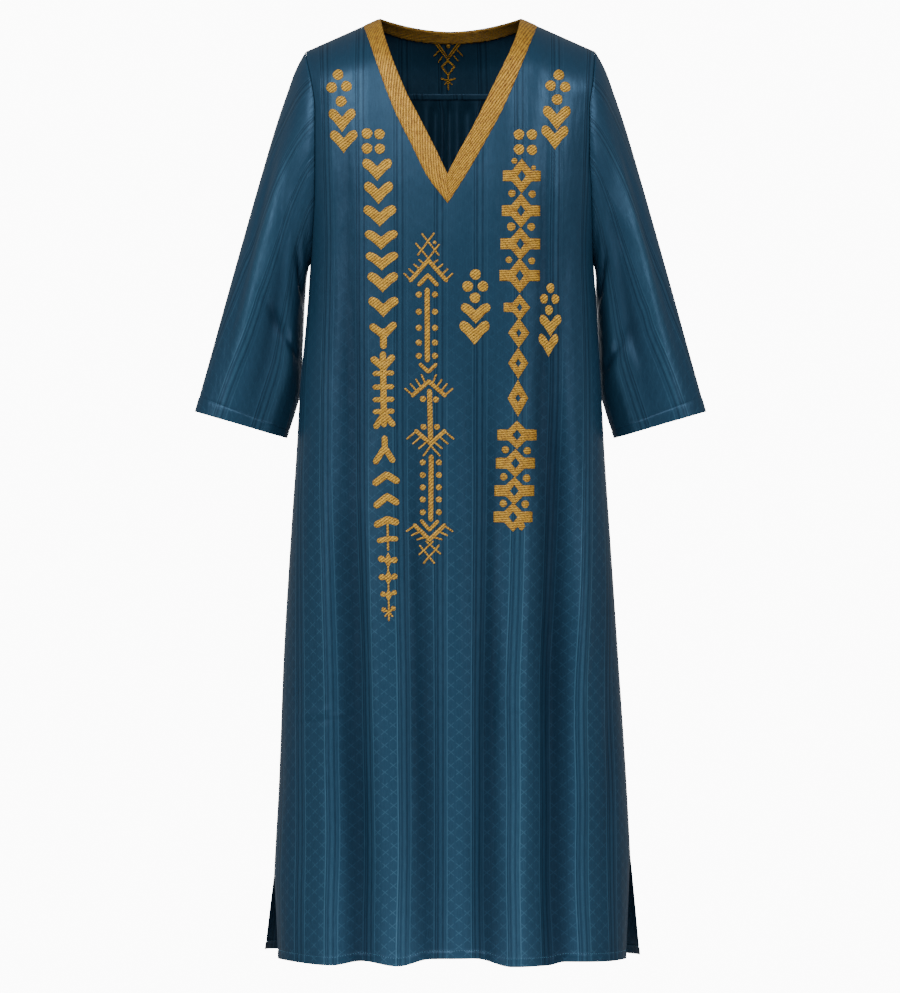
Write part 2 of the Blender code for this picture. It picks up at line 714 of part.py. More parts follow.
def make_yoke(material):
    """The back yoke, from the shoulder and neck seams to the level seam under the shoulders."""
    turns = section_turns(0.6, 12, 5)
    band, inside = back_band(BAND_WIDTH_AT_BACK), back_band(BAND_WIDTH_INSIDE)
    bottom = YOKE_SEAM + SEAM_GAP / 2
    seam = np.stack([across(turns, np.full(turns.shape, bottom), "back"), np.full(turns.shape, bottom)], -1)
    armholes = {side: armhole_edge(side, "back", 0.0, YOKE_SEAM + NEAR_SEAM) for side in (-1, 1)}
    turning = bottom + np.array([YOKE_TURNING + 1 * MM, YOKE_TURNING])
    sides = {side: np.stack([side_edge(turning, side, "back"), turning], -1) for side in (-1, 1)}
    last = {side: armholes[side][-1] for side in (-1, 1)}
    for side in (-1, 1):
        share = ((sides[side][:, 1] - bottom) / (last[side][1] - bottom))[:, None]
        end = seam[-1] if side > 0 else seam[0]
        sides[side] = end + (last[side] - end) * share
    border = np.concatenate([
        band[:, 0], band[-1, 1:], shoulder_line(band[-1, -1, 0], turns, 1, "back"), armholes[1], sides[1],
        seam[::-1], sides[-1][::-1], armholes[-1][::-1],
        shoulder_line(band[0, -1, 0], turns, -1, "back")[::-1], band[0, :0:-1],
    ])
    upper = row_of(*armholes[1].T)[1:]
    plain = grid_points(turns, [*upper, -30 * MM], "back")
    rows = [np.stack([across(turns[1:-1], np.full(len(turns) - 2, z), "back"),
                      np.full(len(turns) - 2, z)], -1) for z in turning]
    plain = np.concatenate([plain, *rows])
    plain = plain[~inside_band(plain, band, 7 * MM) & (plain[:, 1] < back_neck(plain[:, 0]))]

    def in_turning(points):
        return points[:, 1] < bottom + YOKE_TURNING + SEAM_GAP

    return make_panel("back_yoke", "back", border, plain, [band], [inside], in_turning, material)


def make_back(material):
    """The gathered back, from the yoke seam to the hem, open at the slits."""
    gathered = float(turn_of(GATHER_COUNT / 2 * GATHER_PITCH, YOKE_SEAM, "back"))
    turns = section_turns(gathered, GATHER_COUNT * 4, 6)
    top = YOKE_SEAM - SEAM_GAP / 2
    seam = np.stack([across(turns, np.full(turns.shape, top), "back"), np.full(turns.shape, top)], -1)
    armholes = {side: armhole_edge(side, "back", YOKE_SEAM - NEAR_SEAM, -ARMHOLE_DROP) for side in (-1, 1)}
    border = np.concatenate([
        seam, armholes[1], skirt_border(turns, SKIRT_ROWS, "back"), armholes[-1][::-1],
    ])
    rows = [-68 * MM, -73 * MM, -81 * MM, *armholes[1][1:, 1], *SKIRT_ROWS]
    plain = []
    for row in rows:
        places = turns[1:-1] if row > -0.4 else turns[1:-1:2]
        plain.append(np.stack([across(places, np.full(len(places), row), "back"),
                               np.full(len(places), row)], -1))
    plain = np.concatenate([*plain, *(row[1:-1] for row in low_rows(turns, "back")[:2])])
    return make_panel("back", "back", border, plain, [], [], in_hem("back"), material)


def make_neckband(material):
    """The band round the neck: two front strips that meet in a mitre at the V, and the back."""
    for name, side in (("neckband_left", -1), ("neckband_right", 1)):
        plan = front_band(side)
        plan[-1, :, 0] += side * SEAM_GAP / 2
        strip_wall(name, plan, "front", SEAM_GAP, BAND_THICKNESS, material)
    strip_wall("neckband_back", back_band(BAND_WIDTH_AT_BACK), "back", SEAM_GAP, BAND_THICKNESS, material)
    strip_wall("neckband_back_inside", back_band(BAND_WIDTH_INSIDE), "back",
               -WALL - SEAM_GAP - 1 * MM, 1 * MM, material)


for leftover in list(bpy.data.objects):
    bpy.data.objects.remove(leftover, do_unlink=True)
collection = bpy.data.collections.new("caftan")
bpy.context.scene.collection.children.link(collection)

satin = cloth_material("teal_satin", (0.02, 0.10, 0.19), 0.38)
gold = cloth_material("gold_thread", (0.62, 0.36, 0.07), 0.5)

make_front(satin)
make_yoke(satin)
make_back(satin)
make_sleeve("sleeve_left", -1, satin)
make_sleeve("sleeve_right", 1, satin)
make_neckband(gold)
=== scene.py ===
"""Looks of an ankle-length caftan in figured satin, filled out as worn but with nobody in it.

Metres, in the frame of the part: the origin lies between the shoulder tips, the front faces -Y.
`Hull` repeats the formulas that the solids are cut from, with finer creases on them. The cloth, the
neckband, the embroidery and the stitches are all points of a hull, moved out along its normals.
"""

import logging
import math
from dataclasses import dataclass, field
from typing import NamedTuple

import bmesh
import bpy
from bpy.types import Material, Object
import numpy as np
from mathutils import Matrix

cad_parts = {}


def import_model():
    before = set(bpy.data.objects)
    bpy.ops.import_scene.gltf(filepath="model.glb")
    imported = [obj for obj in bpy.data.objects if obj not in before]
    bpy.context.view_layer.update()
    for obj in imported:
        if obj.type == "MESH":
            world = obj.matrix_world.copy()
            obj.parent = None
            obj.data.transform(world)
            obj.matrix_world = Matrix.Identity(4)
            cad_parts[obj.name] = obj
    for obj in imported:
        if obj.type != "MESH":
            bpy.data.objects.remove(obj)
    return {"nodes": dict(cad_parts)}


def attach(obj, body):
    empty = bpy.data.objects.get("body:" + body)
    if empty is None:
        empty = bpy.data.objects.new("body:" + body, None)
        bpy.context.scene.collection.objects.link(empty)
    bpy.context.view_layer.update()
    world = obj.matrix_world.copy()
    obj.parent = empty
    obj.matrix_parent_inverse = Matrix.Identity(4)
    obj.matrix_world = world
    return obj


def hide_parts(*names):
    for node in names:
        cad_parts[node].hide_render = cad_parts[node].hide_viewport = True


MM = 0.001
PIXEL = 1.45 * MM
MIDDLE_PIXEL = 450.5
SHOULDER_PIXEL = 52.0

ARMHOLE_DROP = 304.5 * MM
SHOULDER_TIP = 209.5 * MM
NECK_POINT = 101.5 * MM
NECK_RISE = 48 * MM
SHOULDER_ROUNDING = 72 * MM
YOKE_SEAM = -64.5 * MM
BACK_NECK_DIP = 17 * MM
BACK_BAND_WIDTH = 24 * MM
BACK_HEM = -1306 * MM
SLIT_TOPS = {-1: -1195 * MM, 1: -1165 * MM}
SLIT_SPREAD = 9.5 * MM
SLIT_DEPTHS = {"front": 14 * MM, "back": 24 * MM}
SQUARENESS = 2.3
ARMHOLE_SHARE = 0.53
GATHER_PITCH = 24 * MM
GATHER_RISE = 6 * MM
GATHER_COUNT = 9
SEAM_GAP = 0.3 * MM
CLOTH = 0.8 * MM
HEM_HEIGHT = 12 * MM
HEM_BLEND = -1200 * MM
FRONT_MIDDLE = -4.5 * MM
SLEEVE_CLEARANCE = 1.6 * MM
FOLD_HEIGHT = 13 * MM
SLEEVE_FOLD_HEIGHT = 7 * MM
# Where the cuff's stitches lie, as a share of the sleeve
CUFF_STITCHES = 0.960
# Below the yoke seam the back's rows are level, and they settle to the shoulder's slope over a length
LEVEL_TOP = 30 * MM
SETTLING = 160 * MM
BACK_COLUMNS = 181
# Rounds of the searches for a row's height, which settle well before these
ROW_ROUNDS = 7
V_ROUNDS = 12
HEM_ROUNDS = 6
# Half the distance over which a slope is measured
NORMAL_STEP = 0.2 * MM

log = logging.getLogger("caftan")


class BodyRow(NamedTuple):
    """A section of the body in millimetres: its side edges, and its depths from the side seams."""

    drop: float
    left: float
    right: float
    front: float
    back: float


BODY = tuple(BodyRow(*row) for row in (
    (-48, -212, 212, 84, 90), (0, -209.5, 209.5, 98, 104), (45, -201, 206, 110, 114),
    (85, -196, 201, 119, 119), (150, -196, 201, 127, 121), (205, -196.5, 204, 131, 118),
    (262, -199.5, 205.5, 132, 114), (304.5, -202.5, 207, 131, 111), (360, -206, 210.5, 129, 110),
    (490, -217.5, 218, 125, 116), (577, -222.5, 222.5, 125, 121), (708, -231.3, 231.3, 129, 126),
    (882, -241.5, 243, 136, 132), (1056, -248, 254.5, 143, 139), (1186, -255, 261, 148, 144),
    (1330, -260.5, 265, 153, 149),
))

# The neckband's edges down each side of the V, as rows of drop and x, in millimetres
V_INNER = {
    -1: ((-48, -101.5), (-26, -96.5), (58, -65), (93, -47), (140, -23), (179, -4.5)),
    1: ((-48, 101.5), (-24, 95.5), (55, 59.5), (109, 33), (150, 10.5), (179, -4.5)),
}
V_OUTER = {
    -1: ((-37.2, -126), (84, -82.5), (138, -56), (182, -34), (222, -4)),
    1: ((-37.2, 126), (84, 76), (138, 47), (182, 21.6), (222, -4)),
}
V_BOTTOM = -179 * MM

# The front hem's lower edge, as rows of x and drop, in millimetres
FRONT_HEM = (
    (-270, 1311), (-172, 1320.5), (-128, 1314), (-76, 1321), (-30, 1311), (35, 1310),
    (88, 1322), (140, 1320.5), (165, 1315.5), (222, 1316), (275, 1311),
)


class Fold(NamedTuple):
    """A soft ridge, or a trough where its rise is negative, that grows from its start to the hem."""

    face: str
    start: float
    at_start: float
    at_hem: float
    width: float
    rise: float


FOLDS = tuple(Fold("front", *row) for row in (
    (330, -186, -176, 22, 9), (60, -150, -130, 23, -12), (420, -98, -80, 27, 11),
    (480, -52, -30, 26, -7), (520, 2, 10, 27, 5), (380, 52, 56, 22, -10), (300, 92, 100, 27, 12),
    (60, 134, 152, 23, -13), (330, 190, 200, 20, 8),
)) + tuple(Fold("back", *row) for row in (
    (300, -190, -186, 22, 9), (260, -138, -142, 24, -12), (400, -84, -92, 26, 12),
    (330, -36, -44, 24, -10), (430, 14, 6, 27, 11), (350, 60, 66, 24, -11), (420, 104, 112, 26, 12),
    (250, 150, 160, 23, -12), (330, 196, 204, 20, 8),
))


class Crease(NamedTuple):
    """A soft trough or ridge at a place of the photo's frame, in pixels, turned from upright in degrees."""

    face: str
    x: float
    y: float
    long: float
    wide: float
    turn: float
    rise: float


CREASES = tuple(Crease("front", *row) for row in (
    (313, 170, 130, 5, 0, -2.2), (330, 160, 110, 6, 2, 1.8), (347, 250, 170, 6, -1, -2.6),
    (404, 330, 150, 7, -1, -1.6), (470, 420, 160, 7, 0, -1.8), (505, 260, 170, 6, 0, -2.2),
    (543, 270, 170, 6, 1, -3.2), (556, 240, 130, 6, 1, 2.4), (576, 160, 90, 5, 2, -2.0),
    (567, 700, 200, 7, -1, -3.2), (331, 248, 34, 4, 24, 1.7), (322, 262, 30, 3.5, 30, -1.5),
    (319, 214, 36, 4, 12, -1.4), (578, 246, 34, 4, -22, 1.6), (585, 262, 26, 3.5, -32, -1.4),
    (316, 719, 27, 2.6, 81, -3.4), (317, 712, 25, 4, 81, 2.6), (391, 711.6, 7, 2, 86, -1.4),
    (516, 712.6, 8, 2, 88, -1.4), (298, 693, 6, 3, 40, -2.0), (606, 612, 6, 3, 60, -2.0),
    (591, 672, 9, 3, 30, -2.2), (591, 886, 9, 2.6, -50, 2.0), (372, 640, 120, 7, -3, 2.0),
    (336, 820, 110, 7, -2, -2.6), (398, 850, 90, 6, -2, 2.2), (428, 800, 130, 7, -1, -2.4),
    (462, 860, 90, 7, 0, 2.0), (528, 780, 150, 6, 2, 2.2), (548, 880, 80, 6, 2, -2.4),
    (608, 800, 120, 6, 3, -2.2), (604, 700, 60, 5, 5, 1.8), (306, 650, 260, 7, 1, 3.0),
    (340, 640, 230, 9, -2, -5.0), (374, 700, 260, 8, -2, 4.2), (418, 690, 220, 9, -1, -6.0),
    (455, 720, 260, 9, 0, 4.6), (489, 680, 230, 8, 1, -6.2), (524, 700, 240, 8, 1, 4.6),
    (552, 620, 240, 9, 1, -6.4), (584, 660, 250, 8, 2, 4.6), (610, 640, 200, 7, 2, -4.0),
)) + tuple(Crease("back", *row) for row in (
    (330, 240, 40, 4, 22, 1.7), (574, 236, 38, 4, -24, 1.8), (352, 420, 150, 6, -1, -2.4),
    (402, 560, 150, 7, 0, 2.2), (446, 640, 160, 6, 1, -2.6), (496, 520, 150, 7, 0, 2.0),
    (548, 600, 170, 6, 2, -2.8), (580, 730, 26, 3, 80, -3.0), (322, 690, 24, 3, -82, -2.8),
    (470, 735, 16, 2.4, 84, -1.6), (384, 840, 100, 6, -2, -2.4), (520, 850, 100, 7, 2, 2.2),
))


class SleeveRow(NamedTuple):
    """A ring of the sleeve, from the armhole to the cuff: its top and under lines, and its depth."""

    share: float
    top_drop: float
    top_out: float
    under_drop: float
    under_out: float
    half_depth: float
    set_back: float


SLEEVE = tuple(SleeveRow(*row) for row in (
    (0.00, 0, 209.5, 304.5, 202.4, 60, 0), (0.03, 14.5, 218.2, 311, 205.5, 63, 5),
    (0.06, 31, 226.2, 319, 207.5, 65, 11), (0.11, 58, 236, 332, 209.5, 68, 20),
    (0.19, 98.6, 250.1, 353, 211, 70, 30), (0.36, 185.6, 276.2, 396, 213.5, 68, 38),
    (0.53, 272.6, 301, 440, 215, 62, 41), (0.70, 360, 325.5, 483, 216.5, 55, 42),
    (0.86, 447, 349.5, 524, 226.5, 49, 41), (1.00, 521.5, 370.5, 559.7, 238.5, 44, 40),
))


class SleeveFold(NamedTuple):
    """A ridge or trough of a sleeve; `lean` slants it by degrees of turn along the whole sleeve."""

    side: int
    share: float
    turn: float
    long: float
    wide: float
    rise: float
    lean: float = 0.0


SLEEVE_FOLDS = tuple(SleeveFold(-1, *row) for row in (
    (0.55, 62, 0.42, 13, 6), (0.60, 96, 0.40, 12, -6), (0.66, 128, 0.30, 12, 5),
    (0.58, 118, 0.035, 34, -5), (0.22, 140, 0.05, 22, -7), (0.60, 232, 0.40, 16, 6),
    (0.60, 290, 0.40, 16, -6), (0.45, 40, 0.30, 8, -2.4, 20), (0.78, 76, 0.16, 7, -2.2, -30),
    (0.40, 108, 0.14, 8, 2.4, 60), (0.30, 78, 0.12, 8, -2.0, 90), (0.50, 262, 0.30, 10, 2.4, 20),
    (0.52, 215, 0.05, 30, -3.4),
)) + tuple(SleeveFold(1, *row) for row in (
    (0.58, 58, 0.42, 13, 6), (0.62, 92, 0.42, 12, -6), (0.60, 124, 0.32, 12, 5),
    (0.64, 126, 0.035, 26, -5), (0.24, 138, 0.05, 22, -7), (0.58, 228, 0.42, 16, 6),
    (0.62, 286, 0.40, 16, -6), (0.48, 42, 0.30, 8, -2.4, -18), (0.80, 74, 0.14, 7, -2.2, 30),
    (0.72, 104, 0.10, 9, 2.6, -80), (0.33, 84, 0.12, 8, -2.0, -90), (0.50, 258, 0.30, 10, 2.4, -20),
    (0.47, 218, 0.05, 30, -3.4),
))


def smooth(places, values, at) -> np.ndarray:
    """A cubic through rows whose slopes never overshoot them.

    Args:
        places: the rising places of the rows.
        values: the rows' values.
        at: where the curve is wanted.

    Returns:
        The curve's values.
    """
    places, values = np.asarray(places, float), np.asarray(values, float)
    steps = np.diff(places)
    rises = np.diff(values) / steps
    slopes = np.empty_like(values)
    slopes[0], slopes[-1] = rises[0], rises[-1]
    before, after = rises[:-1], rises[1:]
    same_way = before * after > 0
    total = np.where(same_way, before + after, 1.0)
    slopes[1:-1] = np.where(same_way, 2 * before * after / total, 0.0)
    at = np.clip(at, places[0], places[-1])
    cell = np.clip(np.searchsorted(places, at, side="right") - 1, 0, len(steps) - 1)
    t = (at - places[cell]) / steps[cell]
    start, end = values[cell], values[cell + 1]
    lean, leave = slopes[cell] * steps[cell], slopes[cell + 1] * steps[cell]
    bend = start - end
    return start + t * (lean + t * (-3 * bend - 2 * lean - leave + t * (2 * bend + lean + leave)))


def ease(t) -> np.ndarray:
    """A smooth step from 0 to 1."""
    t = np.clip(t, 0.0, 1.0)
    return t * t * (3 - 2 * t)


def column(rows, name: str) -> list[float]:
    """One named column of a table."""
    return [getattr(row, name) for row in rows]


def body_at(name: str, z) -> np.ndarray:
    """A column of the body's table at height z, in metres."""
    return MM * smooth(column(BODY, "drop"), column(BODY, name), -np.asarray(z) / MM)


def shoulder(x) -> np.ndarray:
    """Height of the shoulder seam over x, level across the neck opening."""
    slope = NECK_RISE / (SHOULDER_TIP - NECK_POINT)
    return NECK_RISE - slope * np.clip(np.abs(x) - NECK_POINT, 0, None)


def back_neck(x) -> np.ndarray:
    """Height of the back neck's edge over x, lowest in the middle."""
    return NECK_RISE - BACK_NECK_DIP * (1 - np.clip(np.abs(x) / NECK_POINT, 0, 1) ** 1.8)


def slit_share(z, side: int) -> np.ndarray:
    """How far a slit has opened at height z: 0 at its top, 1 at the hem."""
    top = SLIT_TOPS[side]
    return np.clip((top - z) / (top - BACK_HEM), 0.0, 1.3)


def place(px, py) -> np.ndarray:
    """(x, z) in metres of places in the photo's frame."""
    px, py = np.broadcast_arrays(np.asarray(px, float), np.asarray(py, float))
    return np.stack([(px - MIDDLE_PIXEL) * PIXEL, (SHOULDER_PIXEL - py) * PIXEL], -1)


@dataclass(frozen=True)
class Hull:
    """The front or the back of the body, whose points are found from x and z.

    A section at height z is a rounded oval |x/a|^p + |y/b|^p = 1 with p = SQUARENESS, cut off at the
    armhole; above, it draws in to the shoulder seam along a quarter of a circle.
    """

    face: str

    @property
    def way(self) -> float:
        """The sign of y on this face."""
        return -1.0 if self.face == "front" else 1.0

    def edge(self, z, side: int) -> np.ndarray:
        """x of the side edge, where below the slit's top the front lies inside the back."""
        inwards = -1 if self.face == "front" else 1
        whole = body_at("left" if side < 0 else "right", z)
        return whole + side * inwards * SLIT_SPREAD * slit_share(z, side)

    def section(self, z) -> tuple[np.ndarray, np.ndarray, np.ndarray]:
        """Middle, reach and share of a quarter turn that the face takes up at height z."""
        left, right = self.edge(z, -1), self.edge(z, 1)
        down = np.clip(-z / ARMHOLE_DROP, 0.0, 1.0)
        share = ARMHOLE_SHARE * (1 - down**2.5) ** 0.75
        turn = np.arccos(share ** (SQUARENESS / 2)) / (math.pi / 2)
        reach = (right - left) / 2 / np.sin(turn * math.pi / 2) ** (2 / SQUARENESS)
        return (left + right) / 2, reach, turn

    def folds(self, x, z) -> np.ndarray:
        """How far the large folds move the cloth out: a sum of long Gaussian ridges and troughs."""
        total = np.zeros(np.broadcast(x, z).shape)
        hem = -BACK_HEM / MM
        for fold in FOLDS:
            if fold.face == self.face:
                fallen = np.clip((-z / MM - fold.start) / (hem - fold.start), 0.0, 1.1)
                middle = MM * (fold.at_start + (fold.at_hem - fold.at_start) * fallen)
                grown = 1 - (1 - np.clip(fallen, 0, 1)) ** 2
                total += MM * fold.rise * grown * np.exp(-(((x - middle) / (MM * fold.width)) ** 2))
        if self.face == "back":
            total += self.gathers(x, z)
        return total

    def gathers(self, x, z) -> np.ndarray:
        """The gathers under the yoke: rounded waves that fade out by the hips."""
        below = YOKE_SEAM - z
        spread = 1 + 0.9 * np.clip(below, 0, None)
        at = x / (GATHER_PITCH * spread)
        uneven = at + 0.12 * np.sin(2.1 * at + 0.7)
        across = ease((GATHER_COUNT / 2 - np.abs(at)) / 0.6)
        down = ease(below / (22 * MM)) * (1 - ease((below - 0.05) / 0.42))
        return GATHER_RISE * across * down * (0.5 + 0.5 * np.cos(2 * math.pi * uneven))

    def creases(self, x, z) -> np.ndarray:
        """The smaller creases: turned Gaussian troughs and ridges, and two slow waves of uneven cloth."""
        total = np.zeros(np.broadcast(x, z).shape)
        for crease in CREASES:
            if crease.face == self.face:
                middle = place(crease.x, crease.y)
                angle = math.radians(crease.turn)
                right, down = (x - middle[0]) / PIXEL, (middle[1] - z) / PIXEL
                along = down * math.cos(angle) - right * math.sin(angle)
                beside = right * math.cos(angle) + down * math.sin(angle)
                fade = -((along / crease.long) ** 2) - (beside / crease.wide) ** 2
                total += MM * crease.rise * np.exp(fade)
        slow = np.sin(61 * x + 9 * z + 1.3) * np.sin(11 * z + 14 * x)
        return total + 0.7 * MM * slow + 0.4 * MM * np.sin(23 * z - 37 * x) * np.sin(90 * x)

    def fold_height(self, plan: np.ndarray) -> np.ndarray:
        """How high in the folds the points of a plan lie, from about -1 in a trough to 1 on a ridge; the
        satin paints shade in the troughs and light on the ridges from it.
        """
        x, z = plan[..., 0], plan[..., 1]
        return np.clip((self.folds(x, z) + self.creases(x, z)) / FOLD_HEIGHT, -1.3, 1.2)

    def depth(self, x, z) -> np.ndarray:
        """How far the face stands out from the plane of the side seams."""
        middle, reach, _ = self.section(z)
        out = np.clip(np.abs(x - middle) / reach, 0.0, 1.0)
        crown = (1 - out**SQUARENESS) ** (1 / SQUARENESS)
        fallen = np.clip((shoulder(x) - z) / SHOULDER_ROUNDING, 0.0, 1.0)
        rounding = np.sqrt(1 - (1 - fallen) ** 2)
        opened = np.where(x < middle, slit_share(z, -1), slit_share(z, 1))
        edge = SEAM_GAP / 2 + SLIT_DEPTHS[self.face] * opened
        swell = (body_at(self.face, z) - edge) * crown * rounding
        return edge + swell + (self.folds(x, z) + self.creases(x, z)) * rounding * crown**1.5

    def at(self, x, z, out=0.0) -> np.ndarray:
        """Points of the face, moved out along its normals.

        Args:
            x: places across, in metres.
            z: heights, in metres.
            out: distance from the cloth's outer surface.

        Returns:
            Points with a last axis of x, y and z.
        """
        points, normals = self.frame(x, z)
        return points + normals * np.asarray(out)[..., None]

    def frame(self, x, z) -> tuple[np.ndarray, np.ndarray]:
        """Points of the face and their normals, by differences over a short step."""
        x, z = np.broadcast_arrays(np.asarray(x, float), np.asarray(z, float))
        step = NORMAL_STEP
        slope_x = (self.depth(x + step, z) - self.depth(x - step, z)) / (2 * step)
        slope_z = (self.depth(x, z + step) - self.depth(x, z - step)) / (2 * step)
        normal = np.stack([-slope_x, np.full_like(x, self.way), -slope_z], -1)
        normal /= np.linalg.norm(normal, axis=-1, keepdims=True)
        return np.stack([x, self.way * self.depth(x, z), z], -1), normal

    def across(self, turn, z) -> np.ndarray:
        """x at a share of the way from the middle line to a side edge, -1 to 1."""
        middle, reach, most = self.section(z)
        angle = np.abs(turn) * most * math.pi / 2
        return middle + np.sign(turn) * reach * np.sin(angle) ** (2 / SQUARENESS)

    def turn_of(self, x, z) -> np.ndarray:
        """The inverse of `across`."""
        middle, reach, most = self.section(z)
        out = np.clip(np.abs(x - middle) / reach, 0.0, 1.0)
        return np.sign(x - middle) * np.arcsin(out ** (SQUARENESS / 2)) / (most * math.pi / 2)

    def hem(self, x) -> np.ndarray:
        """Height of the lower edge over x."""
        if self.face == "front":
            rows = np.array(FRONT_HEM, float)
            return -MM * smooth(rows[:, 0], rows[:, 1], np.asarray(x) / MM)
        return BACK_HEM - 4 * MM * np.sin(9 * math.pi * np.asarray(x))

    def height(self, x, row: float) -> np.ndarray:
        """Height at x of a row of cloth: from the shoulder seam at 0, level by the underarm, to the hem."""
        if row < HEM_BLEND:
            share = (row - HEM_BLEND) / (BACK_HEM - HEM_BLEND)
            return HEM_BLEND + (self.hem(x) - HEM_BLEND) * share
        return row + shoulder(x) * np.clip(1 + row / ARMHOLE_DROP, 0.0, 1.0)

    def row(self, turns, row: float) -> np.ndarray:
        """(x, z) of the points of one row of cloth at the given turns."""
        turns = np.asarray(turns, float)
        z = np.full(turns.shape, float(row))
        for _ in range(ROW_ROUNDS):
            x = self.across(turns, z)
            z = self.height(x, row)
        return np.stack([x, z], -1)


FRONT = Hull("front")
BACK = Hull("back")


def lengths(points: np.ndarray, axis: int, parts=(0, 1, 2)) -> np.ndarray:
    """Distance run along an axis of a grid of points, from its start, over the given coordinates."""
    steps = np.linalg.norm(np.diff(points[..., parts], axis=axis), axis=-1)
    zero = np.zeros_like(np.take(steps, [0], axis=axis))
    return np.cumsum(np.concatenate([zero, steps], axis=axis), axis=axis)


@dataclass
class Shell:
    """A mesh being put together from grids of points, with a fabric map in metres."""

    name: str
    points: list[np.ndarray] = field(default_factory=list)
    maps: list[np.ndarray] = field(default_factory=list)
    faces: list[np.ndarray] = field(default_factory=list)
    heights: list[np.ndarray] = field(default_factory=list)

    def grid(self, points: np.ndarray, fabric: np.ndarray, closed: bool = False, turned: bool = False,
             height: np.ndarray | None = None) -> None:
        """Adds a grid of points, rows by columns.

        Args:
            points: the points, with a last axis of x, y and z.
            fabric: their places on the cloth in metres; a closed grid has one more column of these.
            closed: whether the last column joins the first.
            turned: whether the faces are to be turned round.
            height: how high in the folds each point lies, from -1 in a trough to 1 on a ridge; the satin
                paints shade and light from it.
        """
        start = sum(len(part) for part in self.points)
        rows, columns = points.shape[:2]
        wide = columns if closed else columns - 1
        row, spot = np.meshgrid(np.arange(rows - 1), np.arange(wide), indexing="ij")
        after = (spot + 1) % columns
        corners = [row * columns + spot, row * columns + after,
                   (row + 1) * columns + after, (row + 1) * columns + spot]
        fabric_at = [fabric[row, spot], fabric[row, spot + 1],
                     fabric[row + 1, spot + 1], fabric[row + 1, spot]]
        faces = np.stack(corners, -1).reshape(-1, 4) + start
        maps = np.stack(fabric_at, -2).reshape(-1, 4, 2)
        if turned:
            faces, maps = faces[:, ::-1], maps[:, ::-1]
        self.points.append(points.reshape(-1, 3))
        self.faces.append(faces)
        self.maps.append(maps)
        self.heights.append(np.zeros(rows * columns) if height is None else height.reshape(-1))

    def build(self, material: Material, thickness: float = CLOTH, merge: float = 1e-6) -> Object:
        """The finished object: its doubles merged, and a wall of the given thickness inwards."""
        mesh = bpy.data.meshes.new(self.name)
        faces = np.concatenate(self.faces)
        mesh.from_pydata(np.concatenate(self.points).tolist(), [], faces.tolist())
        layer = mesh.uv_layers.new(name="fabric")
        layer.data.foreach_set("uv", np.concatenate(self.maps).reshape(-1))
        # Stored for the satin's painted shade in the troughs and painted light on the ridges
        fold = mesh.attributes.new("fold_height", "FLOAT", "POINT")
        fold.data.foreach_set("value", np.concatenate(self.heights).astype(np.float32))
        shell = bmesh.new()
        shell.from_mesh(mesh)
        bmesh.ops.remove_doubles(shell, verts=shell.verts, dist=merge)
        shell.to_mesh(mesh)
        shell.free()
        body = add_object(self.name, mesh, material)
        if thickness:
            wall = body.modifiers.new("wall", "SOLIDIFY")
            wall.thickness = thickness
            wall.offset = -1.0
            wall.use_even_offset = False
        return body


def add_object(name: str, mesh, material: Material) -> Object:
    """Links a mesh as an object of the part, smoothly shaded."""
    body = bpy.data.objects.new(name, mesh)
    bpy.context.scene.collection.objects.link(body)
    mesh.materials.append(material)
    mesh.shade_smooth()
    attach(body, "root")
    log.info("%s: %d faces", name, len(mesh.polygons))
    return body


def slab(name: str, outer: np.ndarray, inner: np.ndarray, fabric: np.ndarray,
         material: Material) -> Object:
    """A closed slab between two grids of points, with its faces pointing outwards."""
    shell = Shell(name)
    shell.grid(outer, fabric)
    shell.grid(inner, fabric, turned=True)
    for first, second, line in (
        (outer[0], inner[0], fabric[0]), (outer[-1], inner[-1], fabric[-1]),
        (outer[:, 0], inner[:, 0], fabric[:, 0]), (outer[:, -1], inner[:, -1], fabric[:, -1]),
    ):
        shell.grid(np.stack([first, second]), np.stack([line, line]))
    body = shell.build(material, thickness=0.0)
    turn_outwards(body.data)
    return body


def turn_outwards(mesh) -> None:
    """Recalculates the normals of closed shells so that they point outwards."""
    shell = bmesh.new()
    shell.from_mesh(mesh)
    bmesh.ops.recalc_face_normals(shell, faces=shell.faces)
    shell.to_mesh(mesh)
    shell.free()


def panel_rows() -> np.ndarray:
    """Rows of cloth from the shoulder seam to the hem, closer where the cloth turns over."""
    rounding = SHOULDER_ROUNDING * (1 - np.cos(np.linspace(0, math.pi / 2, 16)))
    long = np.linspace(SHOULDER_ROUNDING, -HEM_BLEND, 200)[1:]
    hem = np.linspace(-HEM_BLEND, -BACK_HEM - HEM_HEIGHT - 4 * MM, 12)[1:]
    turned = -BACK_HEM - HEM_HEIGHT + MM * np.array([-2, -0.8, 0, 0.8, 2, 5, 8.5, 11, 12])
    return -np.concatenate([rounding, long, hem, turned])


def hem_lift(x, z, hull: Hull) -> np.ndarray:
    """The hem's turned cloth: a groove at the stitches and a fuller edge below them."""
    above = (z - hull.hem(x)) / MM
    groove = -0.55 * np.exp(-(((above - 12) / 1.1) ** 2))
    fuller = 0.55 * ease((12 - above) / 2.5)
    pucker = 0.25 * np.sin(x / (4.2 * MM)) * np.exp(-(((above - 12) / 5) ** 2))
    return MM * (groove + fuller + pucker)


def fabric_map(points: np.ndarray, across_from: np.ndarray) -> np.ndarray:
    """Places on the cloth: the distance run along each row, and the drop run down each column."""
    down = lengths(points, 0, (1, 2))
    level_row = int(np.argmin(np.abs(points[:, -1, 2] + ARMHOLE_DROP)))
    down = down - down[level_row] + ARMHOLE_DROP
    return np.stack([across_from[:, None] + lengths(points, 1), down], -1)


def centred_map(points: np.ndarray) -> np.ndarray:
    """The fabric map of a grid, counted from its middle column."""
    fabric = fabric_map(points, np.zeros(len(points)))
    fabric[..., 0] -= fabric[:, points.shape[1] // 2, 0][:, None]
    return fabric


